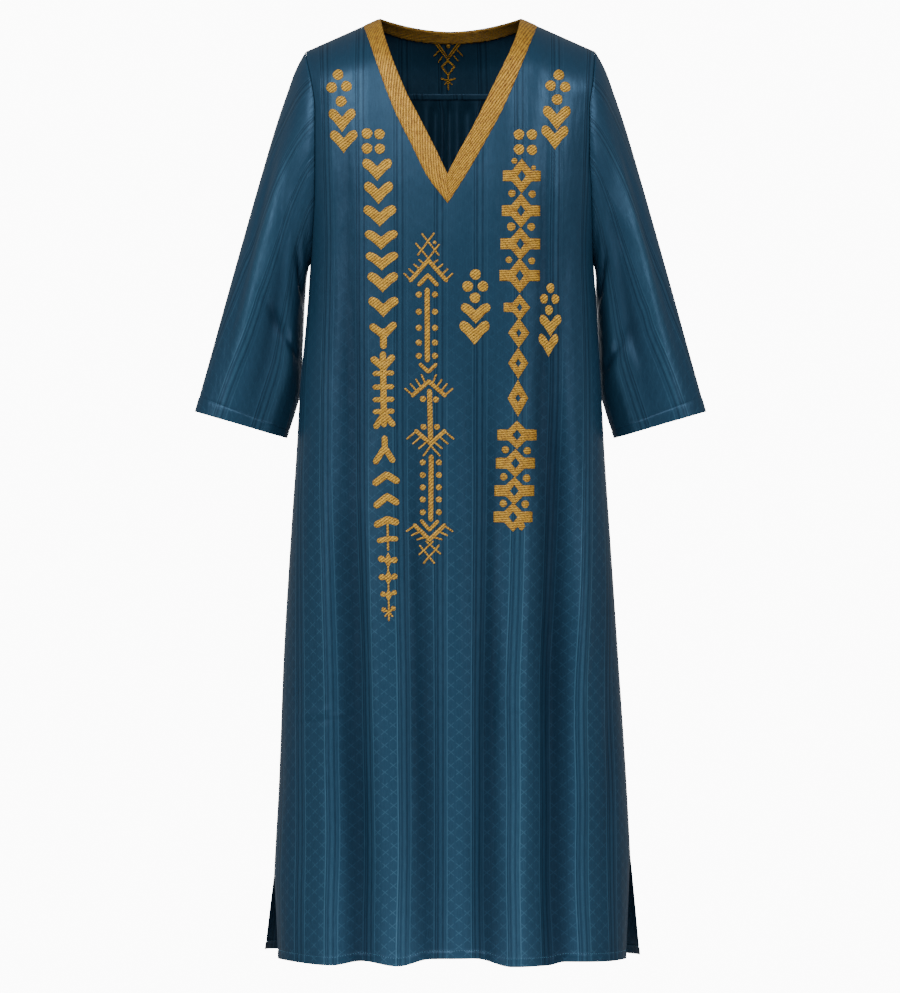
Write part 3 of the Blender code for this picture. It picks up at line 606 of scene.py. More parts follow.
def flat_row(hull: Hull, turns: np.ndarray, z: float) -> np.ndarray:
    """(x, z) of points of a face at one height."""
    heights = np.full(turns.shape, z)
    return np.stack([hull.across(turns, heights), heights], -1)


def make_front(material: Material) -> Object:
    """The front: two half grids that follow the V's edge and meet below it."""
    shell = Shell("front_cloth")
    rows = panel_rows()
    shares = np.linspace(0, 1, 61)
    for side in (-1, 1):
        edge = np.array(V_INNER[side], float)
        points, starts = [], []
        for row in rows:
            x, z = FRONT_MIDDLE, row
            for _ in range(V_ROUNDS):
                inside = MM * float(smooth(edge[:, 0], edge[:, 1], -z / MM))
                x = inside if z > V_BOTTOM else FRONT_MIDDLE
                z = float(FRONT.height(np.float64(x), row))
            first = float(FRONT.turn_of(np.float64(x), z))
            line = FRONT.row(first + (side - first) * shares, row)
            line[0] = x, z
            points.append(line)
            starts.append(abs(x - FRONT_MIDDLE))
        plan = np.array(points)
        lift = hem_lift(plan[..., 0], plan[..., 1], FRONT)
        grid = FRONT.at(plan[..., 0], plan[..., 1], lift)
        fabric = fabric_map(grid, np.array(starts))
        fabric[..., 0] *= side
        shell.grid(grid, fabric, turned=side > 0, height=FRONT.fold_height(plan))
    body = shell.build(material)
    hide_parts("front")
    return body


def make_back(material: Material) -> Object:
    """The gathered back, from the yoke seam to the hem."""
    top = YOKE_SEAM - SEAM_GAP / 2
    rows = panel_rows()
    settled = top - LEVEL_TOP
    rows = rows[rows < settled]
    turns = np.linspace(-1, 1, BACK_COLUMNS)
    plan = [flat_row(BACK, turns, top - drop * MM) for drop in (0, 1.5, 4, 8, 13, 19, 25)]
    for row in rows:
        line = BACK.row(turns, row)
        if row > -ARMHOLE_DROP:
            settle = ease((settled - row) / SETTLING)
            line = line * settle + flat_row(BACK, turns, row) * (1 - settle)
        plan.append(line)
    plan = np.array(plan)
    plan[..., 0] = BACK.across(turns[None, :], plan[..., 1])
    lift = hem_lift(plan[..., 0], plan[..., 1], BACK)
    grid = BACK.at(plan[..., 0], plan[..., 1], lift)
    shell = Shell("back_cloth")
    shell.grid(grid, centred_map(grid), turned=True, height=BACK.fold_height(plan))
    body = shell.build(material)
    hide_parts("back")
    return body


def make_yoke(material: Material) -> tuple[Object, Object]:
    """The back yoke, between the neck and shoulder seams and the level seam, and its turned edge inside."""
    bottom = YOKE_SEAM + SEAM_GAP / 2
    turns = np.linspace(-1, 1, BACK_COLUMNS)
    base = flat_row(BACK, turns, bottom)
    top_x = BACK.across(turns, np.zeros_like(turns)) * SHOULDER_TIP / float(BACK.across(1.0, np.float64(0.0)))
    top = np.stack([top_x, np.where(np.abs(top_x) < NECK_POINT, back_neck(top_x), shoulder(top_x))], -1)
    share = 1 - np.cos(np.linspace(0, math.pi / 2, 26))[:, None, None]
    plan = top[None] * (1 - share) + base[None] * share
    for side, end in ((-1, 0), (1, -1)):
        plan[:, end, 0] = BACK.edge(plan[:, end, 1], side)
    limit = np.stack([BACK.edge(plan[..., 1], -1), BACK.edge(plan[..., 1], 1)])
    plan[..., 0] = np.clip(plan[..., 0], limit[0], limit[1])
    grid = BACK.at(plan[..., 0], plan[..., 1])
    shell = Shell("yoke_cloth")
    shell.grid(grid, centred_map(grid), turned=True, height=BACK.fold_height(plan))
    body = shell.build(material)
    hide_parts("back_yoke")
    heights = bottom + np.linspace(-1.6, 7, 6) * MM
    strip = np.array([flat_row(BACK, turns * 0.985, z) for z in heights])
    outer = BACK.at(strip[..., 0], strip[..., 1], -CLOTH - 0.15 * MM)
    inner = BACK.at(strip[..., 0], strip[..., 1], -CLOTH - 0.95 * MM)
    turning = slab("yoke_turning", outer, inner, fabric_map(outer, np.zeros(len(strip))), material)
    return body, turning


class Sleeve:
    """A set-in sleeve of one side, whose rings run from the armhole to the cuff."""

    def __init__(self, side: int) -> None:
        self.side = side

    def along(self, name: str, share) -> np.ndarray:
        """A column of the sleeve's table at a share of its length."""
        return MM * smooth(column(SLEEVE, "share"), column(SLEEVE, name), share)

    def armhole(self, turns: np.ndarray) -> tuple[np.ndarray, np.ndarray]:
        """Points and outward normals of the armhole's edge; 0 is the tip, 90 the front."""
        z = -ARMHOLE_DROP * (1 - np.cos(np.radians(turns))) / 2
        points, normals = np.empty((len(turns), 3)), np.empty((len(turns), 3))
        for hull, chosen in ((FRONT, turns <= 180), (BACK, turns > 180)):
            x = hull.edge(z[chosen], self.side)
            points[chosen], normals[chosen] = hull.frame(x, z[chosen])
        for seam in (0, int(np.argmin(np.abs(turns - 180)))):
            points[seam, 1], normals[seam, 1] = 0.0, 0.0
        return points, normals / np.linalg.norm(normals, axis=1, keepdims=True)

    def oval(self, share: float, turns: np.ndarray) -> np.ndarray:
        """A ring of the sleeve before the armhole bends it."""
        angle = np.radians(turns)
        top = np.array([self.side * self.along("top_out", share), -self.along("top_drop", share)])
        under = np.array([self.side * self.along("under_out", share), -self.along("under_drop", share)])
        middle, arm = (top + under) / 2, (top - under) / 2
        y = self.along("set_back", share) - self.along("half_depth", share) * np.sin(angle)
        return np.stack([middle[0] + arm[0] * np.cos(angle), y, middle[1] + arm[1] * np.cos(angle)], -1)

    def clear(self, points: np.ndarray) -> np.ndarray:
        """The points, moved out where they would touch the body's side."""
        x, y, z = np.moveaxis(points, -1, 0)
        wide = np.empty_like(x)
        for hull, chosen in ((FRONT, y < 0), (BACK, y >= 0)):
            middle, reach, _ = hull.section(z)
            share = np.clip(np.abs(y) / body_at(hull.face, z), 0.0, 1.0)
            edge = middle + self.side * reach * (1 - share**SQUARENESS) ** (1 / SQUARENESS)
            wide = np.where(chosen, self.side * edge, wide)
        low = ease((-ARMHOLE_DROP + 9 * MM - z) / (9 * MM))
        least = (wide + SLEEVE_CLEARANCE) * low + self.side * x * (1 - low)
        moved = np.maximum(self.side * x, np.where(low > 0, least, self.side * x))
        return np.stack([self.side * moved, y, z], -1)

    def lift(self, shares: np.ndarray, turns: np.ndarray) -> np.ndarray:
        """How far the folds move the sleeve's cloth out."""
        total = np.zeros((len(shares), len(turns)))
        for fold in SLEEVE_FOLDS:
            if fold.side == self.side:
                along = shares[:, None] - fold.share
                around = (turns[None] - fold.turn - fold.lean * along) / fold.wide
                total += MM * fold.rise * np.exp(-((along / fold.long) ** 2) - around**2)
        return total * ease(shares / 0.12)[:, None]

    def surface(self, shares: np.ndarray, turns: np.ndarray) -> tuple[np.ndarray, np.ndarray]:
        """Outer points and normals of the sleeve at the given shares and turns."""
        edge, edge_normals = self.armhole(turns)
        bend = edge - self.oval(0.0, turns)
        fade = np.clip(1 - shares / 0.3, 0, None) ** 2
        rings = np.array([self.oval(share, turns) + bend * part for share, part in zip(shares, fade)])
        rings = self.clear(rings)
        rings = self.clear(rings + self.normals(rings) * self.lift(shares, turns)[..., None])
        tangent = np.roll(edge, -1, axis=0) - np.roll(edge, 1, axis=0)
        away = np.cross(tangent, edge_normals) * -self.side
        rings[0] = edge + away / np.linalg.norm(away, axis=1, keepdims=True) * SEAM_GAP * 1.2
        return rings, self.normals(rings)

    def normals(self, rings: np.ndarray) -> np.ndarray:
        """Normals of a closed ring grid, from its neighbours along and around."""
        around = np.roll(rings, -1, axis=1) - np.roll(rings, 1, axis=1)
        normals = np.cross(np.gradient(rings, axis=0), around) * -self.side
        return normals / np.linalg.norm(normals, axis=-1, keepdims=True)

    def make(self, name: str, node: str, material: Material) -> tuple[Object, np.ndarray, np.ndarray]:
        """The sleeve's cloth, and the stitch line round its cuff."""
        turns = np.arange(0, 360, 3.0)
        shares = np.concatenate([np.linspace(0, 0.06, 8), np.linspace(0.06, 0.955, 96)[1:],
                                 [0.958, 0.960, 0.962, 0.965, 0.975, 0.988, 0.997, 1.0]])
        rings, normals = self.surface(shares, turns)
        hem = (shares[:, None] - CUFF_STITCHES) / (1 - CUFF_STITCHES)
        fuller = 0.6 * MM * ease((hem + 0.02) / 0.08) - 0.5 * MM * np.exp(-((hem / 0.06) ** 2))
        rings = rings + normals * fuller[..., None]
        rings = np.concatenate([rings[:1], self.clear(rings[1:])])
        wide = np.concatenate([rings, rings[:, :1]], axis=1)
        around = lengths(wide, 1)
        fabric = np.stack([around - around[:, 40:41], lengths(wide, 0)], -1)
        shell = Shell(name)
        # Painted light: the sleeves' fold height is raised by 0.35, so the satin paints them lighter
        # throughout and darkens fewer of their troughs
        shell.grid(rings, fabric, closed=True, turned=self.side > 0,
                   height=np.clip(self.lift(shares, turns) / SLEEVE_FOLD_HEIGHT + 0.35, -1.3, 1.2))
        body = shell.build(material)
        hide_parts(node)
        line = int(np.argmin(np.abs(shares - CUFF_STITCHES)))
        return body, wide[line], np.concatenate([normals[line], normals[line, :1]])


def dashes(name: str, path: np.ndarray, normals: np.ndarray, material: Material,
           long: float = 2.7 * MM, gap: float = 1.1 * MM, wide: float = 0.75 * MM,
           rise: float = 0.35 * MM) -> Object:
    """A line of stitches: one small lozenge-topped block for each, laid along a path.

    Args:
        name: the object's name.
        path: the points that the stitches follow.
        normals: the cloth's normals there.
        material: the thread.
        long, gap, wide, rise: a stitch's length, the space after it, its width and height.

    Returns:
        The object.
    """
    run = lengths(path, 0)
    count = int(run[-1] / (long + gap))
    starts = np.arange(count) * (long + gap)

    def at(values: np.ndarray, places: np.ndarray) -> np.ndarray:
        """The values at places along the path."""
        return np.stack([np.interp(places, run, values[:, axis]) for axis in range(3)], -1)

    head, tail = at(path, starts), at(path, starts + long)
    normal = at(normals, starts + long / 2)
    normal /= np.linalg.norm(normal, axis=-1, keepdims=True)
    side = np.cross(tail - head, normal)
    side *= wide / 2 / np.linalg.norm(side, axis=-1, keepdims=True)
    low, high = normal * -0.25 * MM, normal * rise
    middle = (head + tail) / 2
    points = np.stack([head + low, middle + side + low, tail + low, middle - side + low,
                       head * 0.8 + tail * 0.2 + high, middle + side * 0.7 + high,
                       tail * 0.8 + head * 0.2 + high, middle - side * 0.7 + high], 1)
    block = np.array([[0, 3, 2, 1], [4, 5, 6, 7], [0, 1, 5, 4], [1, 2, 6, 5], [2, 3, 7, 6], [3, 0, 4, 7]])
    faces = (block[None] + 8 * np.arange(count)[:, None, None]).reshape(-1, 4)
    mesh = bpy.data.meshes.new(name)
    mesh.from_pydata(points.reshape(-1, 3).tolist(), [], faces.tolist())
    turn_outwards(mesh)
    return add_object(name, mesh, material)


def edge_curve(rows, count: int) -> np.ndarray:
    """(x, z) points down an edge given as rows of drop and x, from the shoulder seam."""
    rows = np.array(rows, float)
    fine = np.linspace(rows[0, 0], rows[-1, 0], count)
    points = np.stack([smooth(rows[:, 0], rows[:, 1], fine), -fine], -1) * MM
    points[0, 1] = shoulder(points[0, 0])
    return points


def make_band(name: str, plan: np.ndarray, hull: Hull, base: float, rise: float,
              material: Material) -> Object:
    """A padded strip of dense embroidery over a plan of (x, z) points, with rounded edges."""
    rows, columns = plan.shape[:2]
    share = np.abs(np.linspace(-1, 1, columns))[None]
    dome = (1 - share**6 * 0.75) * np.ones((rows, 1))
    x, z = plan[..., 0], plan[..., 1]
    outer = hull.at(x, z, base + rise * dome)
    inner = hull.at(x, z, np.full(x.shape, base))
    fabric = np.stack([lengths(outer, 1), lengths(outer, 0)], -1)
    return slab(name, outer, inner, fabric, material)


def make_bands(left_gold: Material, right_gold: Material) -> list[Object]:
    """The neckband: a strip down each side of the V, and one behind the neck, outside and inside."""
    shares = np.linspace(0, 1, 15)[None, :, None]
    made = []
    for side, name, gold in ((-1, "left", left_gold), (1, "right", right_gold)):
        inner, outer = edge_curve(V_INNER[side], 110), edge_curve(V_OUTER[side], 110)
        plan = inner[:, None] * (1 - shares) + outer[:, None] * shares
        plan[-1, :, 0] += side * 0.05 * MM
        wobble = 0.35 * MM * np.sin(np.arange(110) * 1.9) * np.sin(np.arange(110) * 0.7)
        plan[1:-1, -1, 0] += wobble[1:-1]
        body = make_band(f"band_{name}", plan, FRONT, 0.1 * MM, 1.35 * MM, gold)
        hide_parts(f"neckband_{name}")
        made.append(body)
    swing = np.sin(np.linspace(-1, 1, 121) * math.pi / 2)
    for name, width, base, rise, ragged in (
        ("band_back", BACK_BAND_WIDTH, 0.1 * MM, 1.35 * MM, 0.3),
        ("band_back_inside", 16 * MM, -CLOTH - 0.1 * MM, -1.0 * MM, 1.0),
    ):
        inner_x, outer_x = NECK_POINT * swing, (NECK_POINT + width) * swing
        lean = np.abs(swing) ** 2.4
        outer_z = shoulder(outer_x[0]) * lean + (back_neck(0.0) - width) * (1 - lean)
        step = np.arange(121)
        tatter = np.sin(step * 2.3) * np.sin(step * 0.9 + 1) + 0.5 * np.sin(step * 4.1)
        outer_z = outer_z + ragged * MM * tatter * (1 - lean)
        inner = np.stack([inner_x, back_neck(inner_x)], -1)
        outer = np.stack([outer_x, outer_z], -1)
        plan = inner[:, None] * (1 - shares) + outer[:, None] * shares
        body = make_band(name, plan, BACK, base, rise, right_gold)
        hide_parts("neckband_back_inside" if name.endswith("inside") else "neckband_back")
        made.append(body)
    return made


class Embroidery:
    """Padded satin stitch on a hull, put together from patches and strokes in the photo's pixels.

    What lies nearer the camera than the middle plane looks larger about the photo's middle, so its place
    is drawn in towards AIM, and what lies farther is drawn out.
    """

    AIM = (-0.0007, -0.6445)
    NEARER = 0.995
    FARTHER = 1.004
    # Millimetres from the cloth to the stitches' buried feet and to their lowest top
    BURIED = -0.45
    LAID = 0.05
    # Widths of a chevron's arm and of a tooth, in pixels
    CHEVRON = 4.2
    TOOTH = 1.9

    def __init__(self, name: str, hull: Hull, rise: float = 1.1, inside: bool = False) -> None:
        self.name = name
        self.hull = hull
        self.rise = rise
        self.inside = inside
        self.plan: list[np.ndarray] = []
        self.lifts: list[np.ndarray] = []
        self.faces: list[tuple[int, ...]] = []
        self.count = 0

    def tube(self, rings: np.ndarray, heights: np.ndarray, capped: bool) -> None:
        """Adds a closed form from rings of plan points with heights; capped rings close at both ends.

        Args:
            rings: rings by points by (px, py).
            heights: the same shape without the last axis, as shares of the rise; -1 is under the cloth.
            capped: whether the ends are faces, or the last ring joins the first.
        """
        total, around = heights.shape
        for ring in range(total if not capped else total - 1):
            after = (ring + 1) % total
            for spot in range(around):
                beyond = (spot + 1) % around
                self.faces.append(tuple(self.count + index for index in (
                    ring * around + spot, ring * around + beyond,
                    after * around + beyond, after * around + spot)))
        if capped:
            self.faces.append(tuple(self.count + index for index in range(around - 1, -1, -1)))
            self.faces.append(tuple(self.count + (total - 1) * around + index for index in range(around)))
        self.plan.append(rings.reshape(-1, 2))
        self.lifts.append(heights.reshape(-1))
        self.count += total * around

    def patch(self, outline: np.ndarray, centre, hole: np.ndarray | None = None) -> None:
        """A padded patch inside an outline that its centre sees all of, with or without a hole."""
        centre = np.asarray(centre, float)
        if hole is None:
            shares = np.array([0.12, 0.5, 0.8, 0.94, 1.0, 1.0])
            heights = np.array([1.0, 0.97, 0.8, 0.5, 0.1, -1.0])
            rings = centre + (outline - centre)[None] * shares[:, None, None]
            self.tube(rings, np.repeat(heights[:, None], len(outline), 1), True)
            return
        shares = np.array([0.0, 0.0, 0.12, 0.35, 0.65, 0.9, 1.0, 1.0])
        heights = np.array([-1.0, 0.1, 0.75, 1.0, 1.0, 0.75, 0.1, -1.0])
        rings = hole[None] + (outline - hole)[None] * shares[:, None, None]
        self.tube(rings, np.repeat(heights[:, None], len(outline), 1), False)

    def stroke(self, points, width: float) -> None:
        """A rounded cord of satin stitch along a line of points, with round ends."""
        points = np.asarray(points, float)
        run = np.concatenate([[0], np.cumsum(np.linalg.norm(np.diff(points, axis=0), axis=1))])
        places = np.unique(np.concatenate([run, np.linspace(0, run[-1], max(3, int(run[-1] / 3)))]))
        line = np.stack([np.interp(places, run, points[:, axis]) for axis in (0, 1)], -1)
        tangent = np.gradient(line, axis=0)
        tangent /= np.linalg.norm(tangent, axis=1, keepdims=True)
        ends = np.sin(np.radians([90, 62, 30]))
        widths = np.cos(np.radians([84, 62, 30]))
        head = line[0] - tangent[0] * ends[:, None] * width / 2
        tail = line[-1] + tangent[-1] * ends[::-1, None] * width / 2
        line = np.concatenate([head, line, tail])
        tangent = np.concatenate([np.repeat(tangent[:1], 3, 0), tangent, np.repeat(tangent[-1:], 3, 0)])
        wide = np.concatenate([widths, np.ones(len(places)), widths[::-1]]) * width / 2
        side = np.stack([-tangent[:, 1], tangent[:, 0]], -1) * wide[:, None]
        spots = np.array([-1, -1, -0.72, 0, 0.72, 1, 1])
        heights = np.array([-1.0, 0.1, 0.8, 1.0, 0.8, 0.1, -1.0])
        rings = line[:, None] + side[:, None] * spots[None, :, None]
        self.tube(rings, np.repeat(heights[None], len(line), 0), True)

    def dot(self, px: float, py: float, radius: float, squeeze: float = 1.0) -> None:
        """A round dot, its outline a little uneven."""
        angle = np.linspace(0, 2 * math.pi, 24, endpoint=False)
        uneven = radius * (1 + 0.03 * np.sin(3 * angle + px) + 0.02 * np.sin(5 * angle + py))
        outline = np.stack([px + squeeze * uneven * np.cos(angle), py + uneven * np.sin(angle)], -1)
        self.patch(outline, (px, py))

    def star(self, corners, centre, count: int = 56) -> np.ndarray:
        """The outline through corners round a centre, sampled by angle."""
        corners = np.asarray(corners, float)
        share = np.linspace(0, 1, 40, endpoint=False)[None, :, None]
        after = np.roll(corners, -1, axis=0)
        dense = (corners[:, None] * (1 - share) + after[:, None] * share).reshape(-1, 2)
        away = dense - centre
        angle = np.arctan2(away[:, 1], away[:, 0])
        order = np.argsort(angle)
        wanted = np.linspace(-math.pi, math.pi, count, endpoint=False)
        radius = np.interp(wanted, angle[order], np.linalg.norm(away[order], axis=1), period=2 * math.pi)
        return centre + radius[:, None] * np.stack([np.cos(wanted), np.sin(wanted)], -1)

    def heart(self, left: float, right: float, top: float, bottom: float) -> None:
        """A wide heart: two rounded arms that meet in a point below."""
        half = ((0, 0.36), (0.14, 0.27), (0.34, 0.11), (0.54, 0.01), (0.78, -0.04), (0.95, 0.02),
                (1.04, 0.16),
                (1.03, 0.29), (0.93, 0.42), (0.66, 0.56), (0.36, 0.80), (0.06, 1.05), (0.0, 1.12))
        middle, wide, tall = (left + right) / 2, (right - left) / 2, bottom - top
        shape = [(middle + x * wide, top + y * tall) for x, y in half]
        shape += [(middle - x * wide, top + y * tall) for x, y in half[:0:-1]]
        centre = np.array([middle, top + 0.6 * tall])
        self.patch(self.star(shape, centre, 72), centre)

    def diamond(self, px: float, py: float, tall: float, wide: float, lug: float,
                lug_height: float = 5.5, hole=(4.2, 6.0), left_only: bool = False) -> None:
        """A diamond with a diamond hole and, where asked for, a square lug at each side."""
        neck = wide * (1 - lug_height / tall)
        right = [(px + neck, py - lug_height), (px + lug, py - lug_height * 1.05),
                 (px + lug, py + lug_height), (px + neck, py + lug_height)]
        left = [(2 * px - x, y) for x, y in right[::-1]]
        plain_right, plain_left = [(px + wide, py)], [(px - wide, py)]
        corners = [(px, py - tall)]
        corners += right if lug and not left_only else plain_right
        corners += [(px, py + tall)]
        corners += left if lug else plain_left
        inner = [(px, py - hole[1]), (px + hole[0], py), (px, py + hole[1]), (px - hole[0], py)]
        centre = np.array([px, py])
        self.patch(self.star(corners, centre, 72), centre, self.star(inner, centre, 72))

    def comb(self, apex, arm_end, first_tip, last_tip, teeth: int, mirrored_at: float) -> None:
        """A chevron with a row of teeth on the outer side of each arm, mirrored about a pixel column."""
        apex, arm_end = np.asarray(apex, float), np.asarray(arm_end, float)
        first_tip, last_tip = np.asarray(first_tip, float), np.asarray(last_tip, float)
        for side in (1, -1):
            turn = np.array([side, 1.0])
            shift = np.array([0.0 if side > 0 else 2 * mirrored_at, 0.0])
            self.stroke([apex * turn + shift, arm_end * turn + shift], self.CHEVRON)
            for share in np.linspace(0, 1, teeth):
                base = apex + (arm_end - apex) * (0.2 + 0.8 * share)
                tip = first_tip * (1 - share) + last_tip * share
                self.stroke([base * turn + shift, tip * turn + shift], self.TOOTH)

    def make(self, material: Material) -> Object:
        """The object: every plan point put on the hull in one go."""
        plan, lifts = np.concatenate(self.plan), np.concatenate(self.lifts)
        aim = np.array([self.AIM])
        scale = self.FARTHER if self.hull is BACK else self.NEARER
        x, z = (aim + (place(plan[:, 0], plan[:, 1]) - aim) * scale).T
        out = MM * np.where(lifts < 0, self.BURIED, self.LAID + self.rise * lifts)
        if self.inside:
            out = -CLOTH - out
        mesh = bpy.data.meshes.new(self.name)
        mesh.from_pydata(self.hull.at(x, z, out).tolist(), [], self.faces)
        turn_outwards(mesh)
        return add_object(self.name, mesh, material)


# Hearts of the left column, as left, right, top and bottom
HEART_COLUMN = (
    (362.9, 391.5, 159.4, 179), (364.6, 392.6, 182.5, 202.4), (364, 395.8, 206, 224.9),
    (365.3, 397.2, 230.9, 248),
    (366.2, 397.7, 252.7, 269), (368, 397.5, 273, 290.8), (368.9, 398, 297.6, 315.4),
)
OTHER_HEARTS = (
    (329, 355, 109, 129.8), (330.4, 357, 130.6, 150.8), (543.5, 570.3, 106.2, 128), (542, 568, 126, 147.4),
    (461.4, 490, 304, 322), (460, 489, 321.7, 343), (540, 561, 315, 334.6), (539, 558, 334.3, 354.7),
)
# Dots, as x, y and radius
DOTS = (
    (338, 74.2, 5.4), (331.5, 87, 5.4), (346.3, 86, 5.4), (341, 101, 5.5), (559, 74.6, 5.4),
    (550.7, 85.4, 5.3),
    (565.4, 86.6, 5.3), (557.3, 99.3, 5.4), (367, 133.6, 5.4), (379.5, 134.3, 5.3), (367, 148.5, 5.4),
    (379.9, 149, 5.2), (519, 134.7, 5.3), (532, 134.7, 5.3), (519, 149.5, 5.3), (532, 150, 5.2),
    (475.4, 274.7, 5.4), (467.7, 286.6, 5.4), (483, 286.6, 5.3), (475, 298, 5.3),
)
NARROW_DOTS = ((550.5, 288, 5), (544, 298.6, 5), (555.4, 299, 5), (549, 310, 5))
COMB_DOTS = tuple((x, y, 3.1) for y in (294.8, 312, 328, 342.8, 356) for x in (418.9, 435)) + tuple(
    (x, y, 3.0) for y in (462.5, 475, 487.3, 499.5, 512.2) for x in (422.8, 438.9)) + (
    (423, 399, 3.1), (436, 399.6, 3.1), (423.5, 427, 3.0), (437, 427, 3.0), (434.7, 242.8, 1.8))
# Diamonds with lugs, as x, y, half height and lug reach
LUGGED = (
    (521.8, 176.2, 17.5, 19), (521, 210.9, 17.3, 19.2), (520.3, 244, 16.5, 19.9),
    (519.7, 275.8, 17.6, 20.2),
    (517, 435, 14.4, 19.7), (515.4, 463.3, 14.4, 19.6), (514.3, 490.8, 14.0, 19.9), (513, 517, 14.8, 19.5),
)
# Plain diamonds, as x, y, half height, half width and whether a lug is on the left
PLAIN = (
    (519.6, 307.6, 13.2, 10.8, True), (518.8, 333, 15.0, 10.8, False), (518.2, 363.2, 15.8, 10.2, False),
    (517.9, 398.3, 18.6, 10.4, False),
)
DIAMOND_DOTS = (
    (511.9, 193.7, 3.7), (532.2, 194.3, 3.7), (511.2, 227, 4.3), (531.2, 227, 3.9), (508.8, 260, 3.3),
    (531.7, 261, 3.5),
    (505.3, 449.7, 3.7), (527.2, 450.8, 3.8), (503.7, 476.8, 3.7), (526.6, 478.2, 3.8), (503.2, 503.5, 3.7),
    (525.2, 504.2, 3.8), (514.4, 161.2, 3.0), (533.6, 167.8, 2.4),
)


def make_hearts(gold: Material) -> Object:
    """The heart column on the left with the forms under it, and the other hearts and dots."""
    work = Embroidery("embroidery_hearts", FRONT)
    for row in (*HEART_COLUMN, *OTHER_HEARTS):
        work.heart(*row)
    for row in DOTS:
        work.dot(*row)
    for row in NARROW_DOTS:
        work.dot(*row, squeeze=0.78)
    for line, width in (
        ([(373.2, 327.2), (383.4, 335)], 7.6), ([(393.2, 325.6), (383.8, 335)], 7.6),
        ([(383.5, 332), (383.5, 345.6)], 7),
        ([(383, 354.6), (384, 424)], 6.3), ([(374, 359.8), (383, 367)], 7), ([(391.8, 358), (384, 367)], 7),
        ([(375.4, 373.7), (391.6, 373)], 5.2), ([(375.4, 387.2), (391.6, 386.8)], 5.2),
        ([(375.4, 399.8), (391.8, 399.4)], 5.2), ([(375.6, 411.8), (392, 411.2)], 5.2),
        ([(384, 414), (376.4, 426)], 6.2), ([(384, 414), (392.6, 423.8)], 6.2),
        ([(384.7, 438.6), (384.8, 450)], 6), ([(384.6, 448), (376, 461.4)], 6.2),
        ([(384.9, 448), (392.4, 459.8)], 6.2),
        ([(376, 482.6), (386.8, 474.8), (396.4, 480.6)], 7), ([(377, 505), (387.2, 496.4), (396, 502)], 7),
        ([(377.4, 524.4), (387.4, 519.4), (395.6, 522)], 7), ([(387.6, 522), (388.2, 549.6)], 2.2),
        ([(379.6, 540.6), (388, 538.6), (395.6, 538.8)], 5.2),
        ([(381.6, 559), (388.2, 561), (394.4, 560)], 4.2),
        ([(382, 577), (388.3, 578.4), (394.4, 576.4)], 4.0),
        ([(383, 594), (388.5, 595), (394.2, 592.6)], 3.4),
        ([(384, 609.6), (388.8, 611.8), (393.2, 608.4)], 2.6),
        ([(388.2, 566), (388.6, 589)], 1.8), ([(388.6, 596), (389, 606)], 1.8),
        ([(389, 606), (389, 620)], 2.0),
        ([(389, 611.5), (385.4, 616)], 1.8), ([(389, 611.5), (392.6, 616)], 1.8),
    ):
        work.stroke(line, width)
    for px, py, radius in ((381.4, 558.8, 3.3), (394.6, 560, 3.2), (382, 577, 3.2), (394.6, 576.4, 3.1),
                           (383.2, 594, 2.7), (394.4, 592.4, 2.6), (384, 609.6, 2.6), (393.4, 608.2, 2.5)):
        work.dot(px, py, radius)
    for px, py, wide, tall in ((388.3, 560.2, 4, 8), (388.4, 577.4, 4, 8), (388.6, 595, 3.4, 7)):
        corners = [(px, py - tall), (px + wide, py), (px, py + tall), (px - wide, py)]
        work.patch(work.star(corners, np.array([px, py]), 24), (px, py))
    return work.make(gold)


def make_combs(gold: Material) -> Object:
    """The comb column: toothed chevrons, rope bars between rows of dots, and crossed diamonds."""
    work = Embroidery("embroidery_combs", FRONT, rise=1.0)
    for line in (
        [(422.2, 234.3), (438.6, 255.2)], [(433.8, 233.8), (418, 255.2)], [(416.1, 244), (428.7, 258.9)],
        [(439, 245), (428.3, 258.9)], [(420, 545.7), (434.3, 562.9)], [(439, 545.4), (423.9, 562.9)],
        [(419.6, 554.3), (432.8, 541.5)], [(440.3, 553.6), (426.6, 541.5)],
        [(425, 439.4), (439.6, 455.4)], [(436, 439.4), (423.6, 455.4)],
    ):
        work.stroke(line, 1.9)
    work.comb((428.4, 260.6), (446, 280.4), (437.5, 260.4), (452.3, 274.1), 4, 428.4)
    work.comb((428.9, 381.6), (444.8, 395.4), (436.1, 375.3), (452.4, 388.9), 4, 428.9)
    work.comb((430.4, 443.6), (444.4, 431.2), (441.7, 448.3), (453.4, 438.8), 3, 430.4)
    work.comb((429.5, 539.6), (444.1, 525.4), (441.7, 539.4), (452.3, 531.1), 3, 429.5)
    for line, width in (
        ([(419.4, 284.6), (428, 275.6), (436.6, 284.6)], 4.2),
        ([(420.6, 364.8), (428.4, 372), (435.6, 365)], 3.8),
        ([(421.8, 521.2), (429.6, 530), (437.4, 521.6)], 3.6),
        ([(427.2, 290.6), (427.4, 360)], 5.2), ([(429.6, 391.6), (430.6, 437.4)], 5.2),
        ([(431.2, 457), (430.8, 519)], 5.0),
    ):
        work.stroke(line, width)
    for row in COMB_DOTS:
        work.dot(*row)
    return work.make(gold)


def make_diamonds(gold: Material) -> Object:
    """The column of diamonds with their dots on the right of the opening."""
    work = Embroidery("embroidery_diamonds", FRONT)
    for px, py, tall, lug in LUGGED:
        work.diamond(px, py, tall, 14.4, lug, hole=(4.0, 5.8) if py < 400 else (4.4, 5.4))
    for px, py, tall, wide, lugged in PLAIN:
        work.diamond(px, py, tall, wide, 16 if lugged else 0.0, 4.6, hole=(2.7, 4.0), left_only=True)
    for row in DIAMOND_DOTS:
        work.dot(*row)
    corners = [(522.6, 520), (525.4, 526.5), (521.4, 531), (517.4, 526.8)]
    work.patch(work.star(corners, np.array([521.6, 526]), 24), (521.6, 526))
    return work.make(gold)


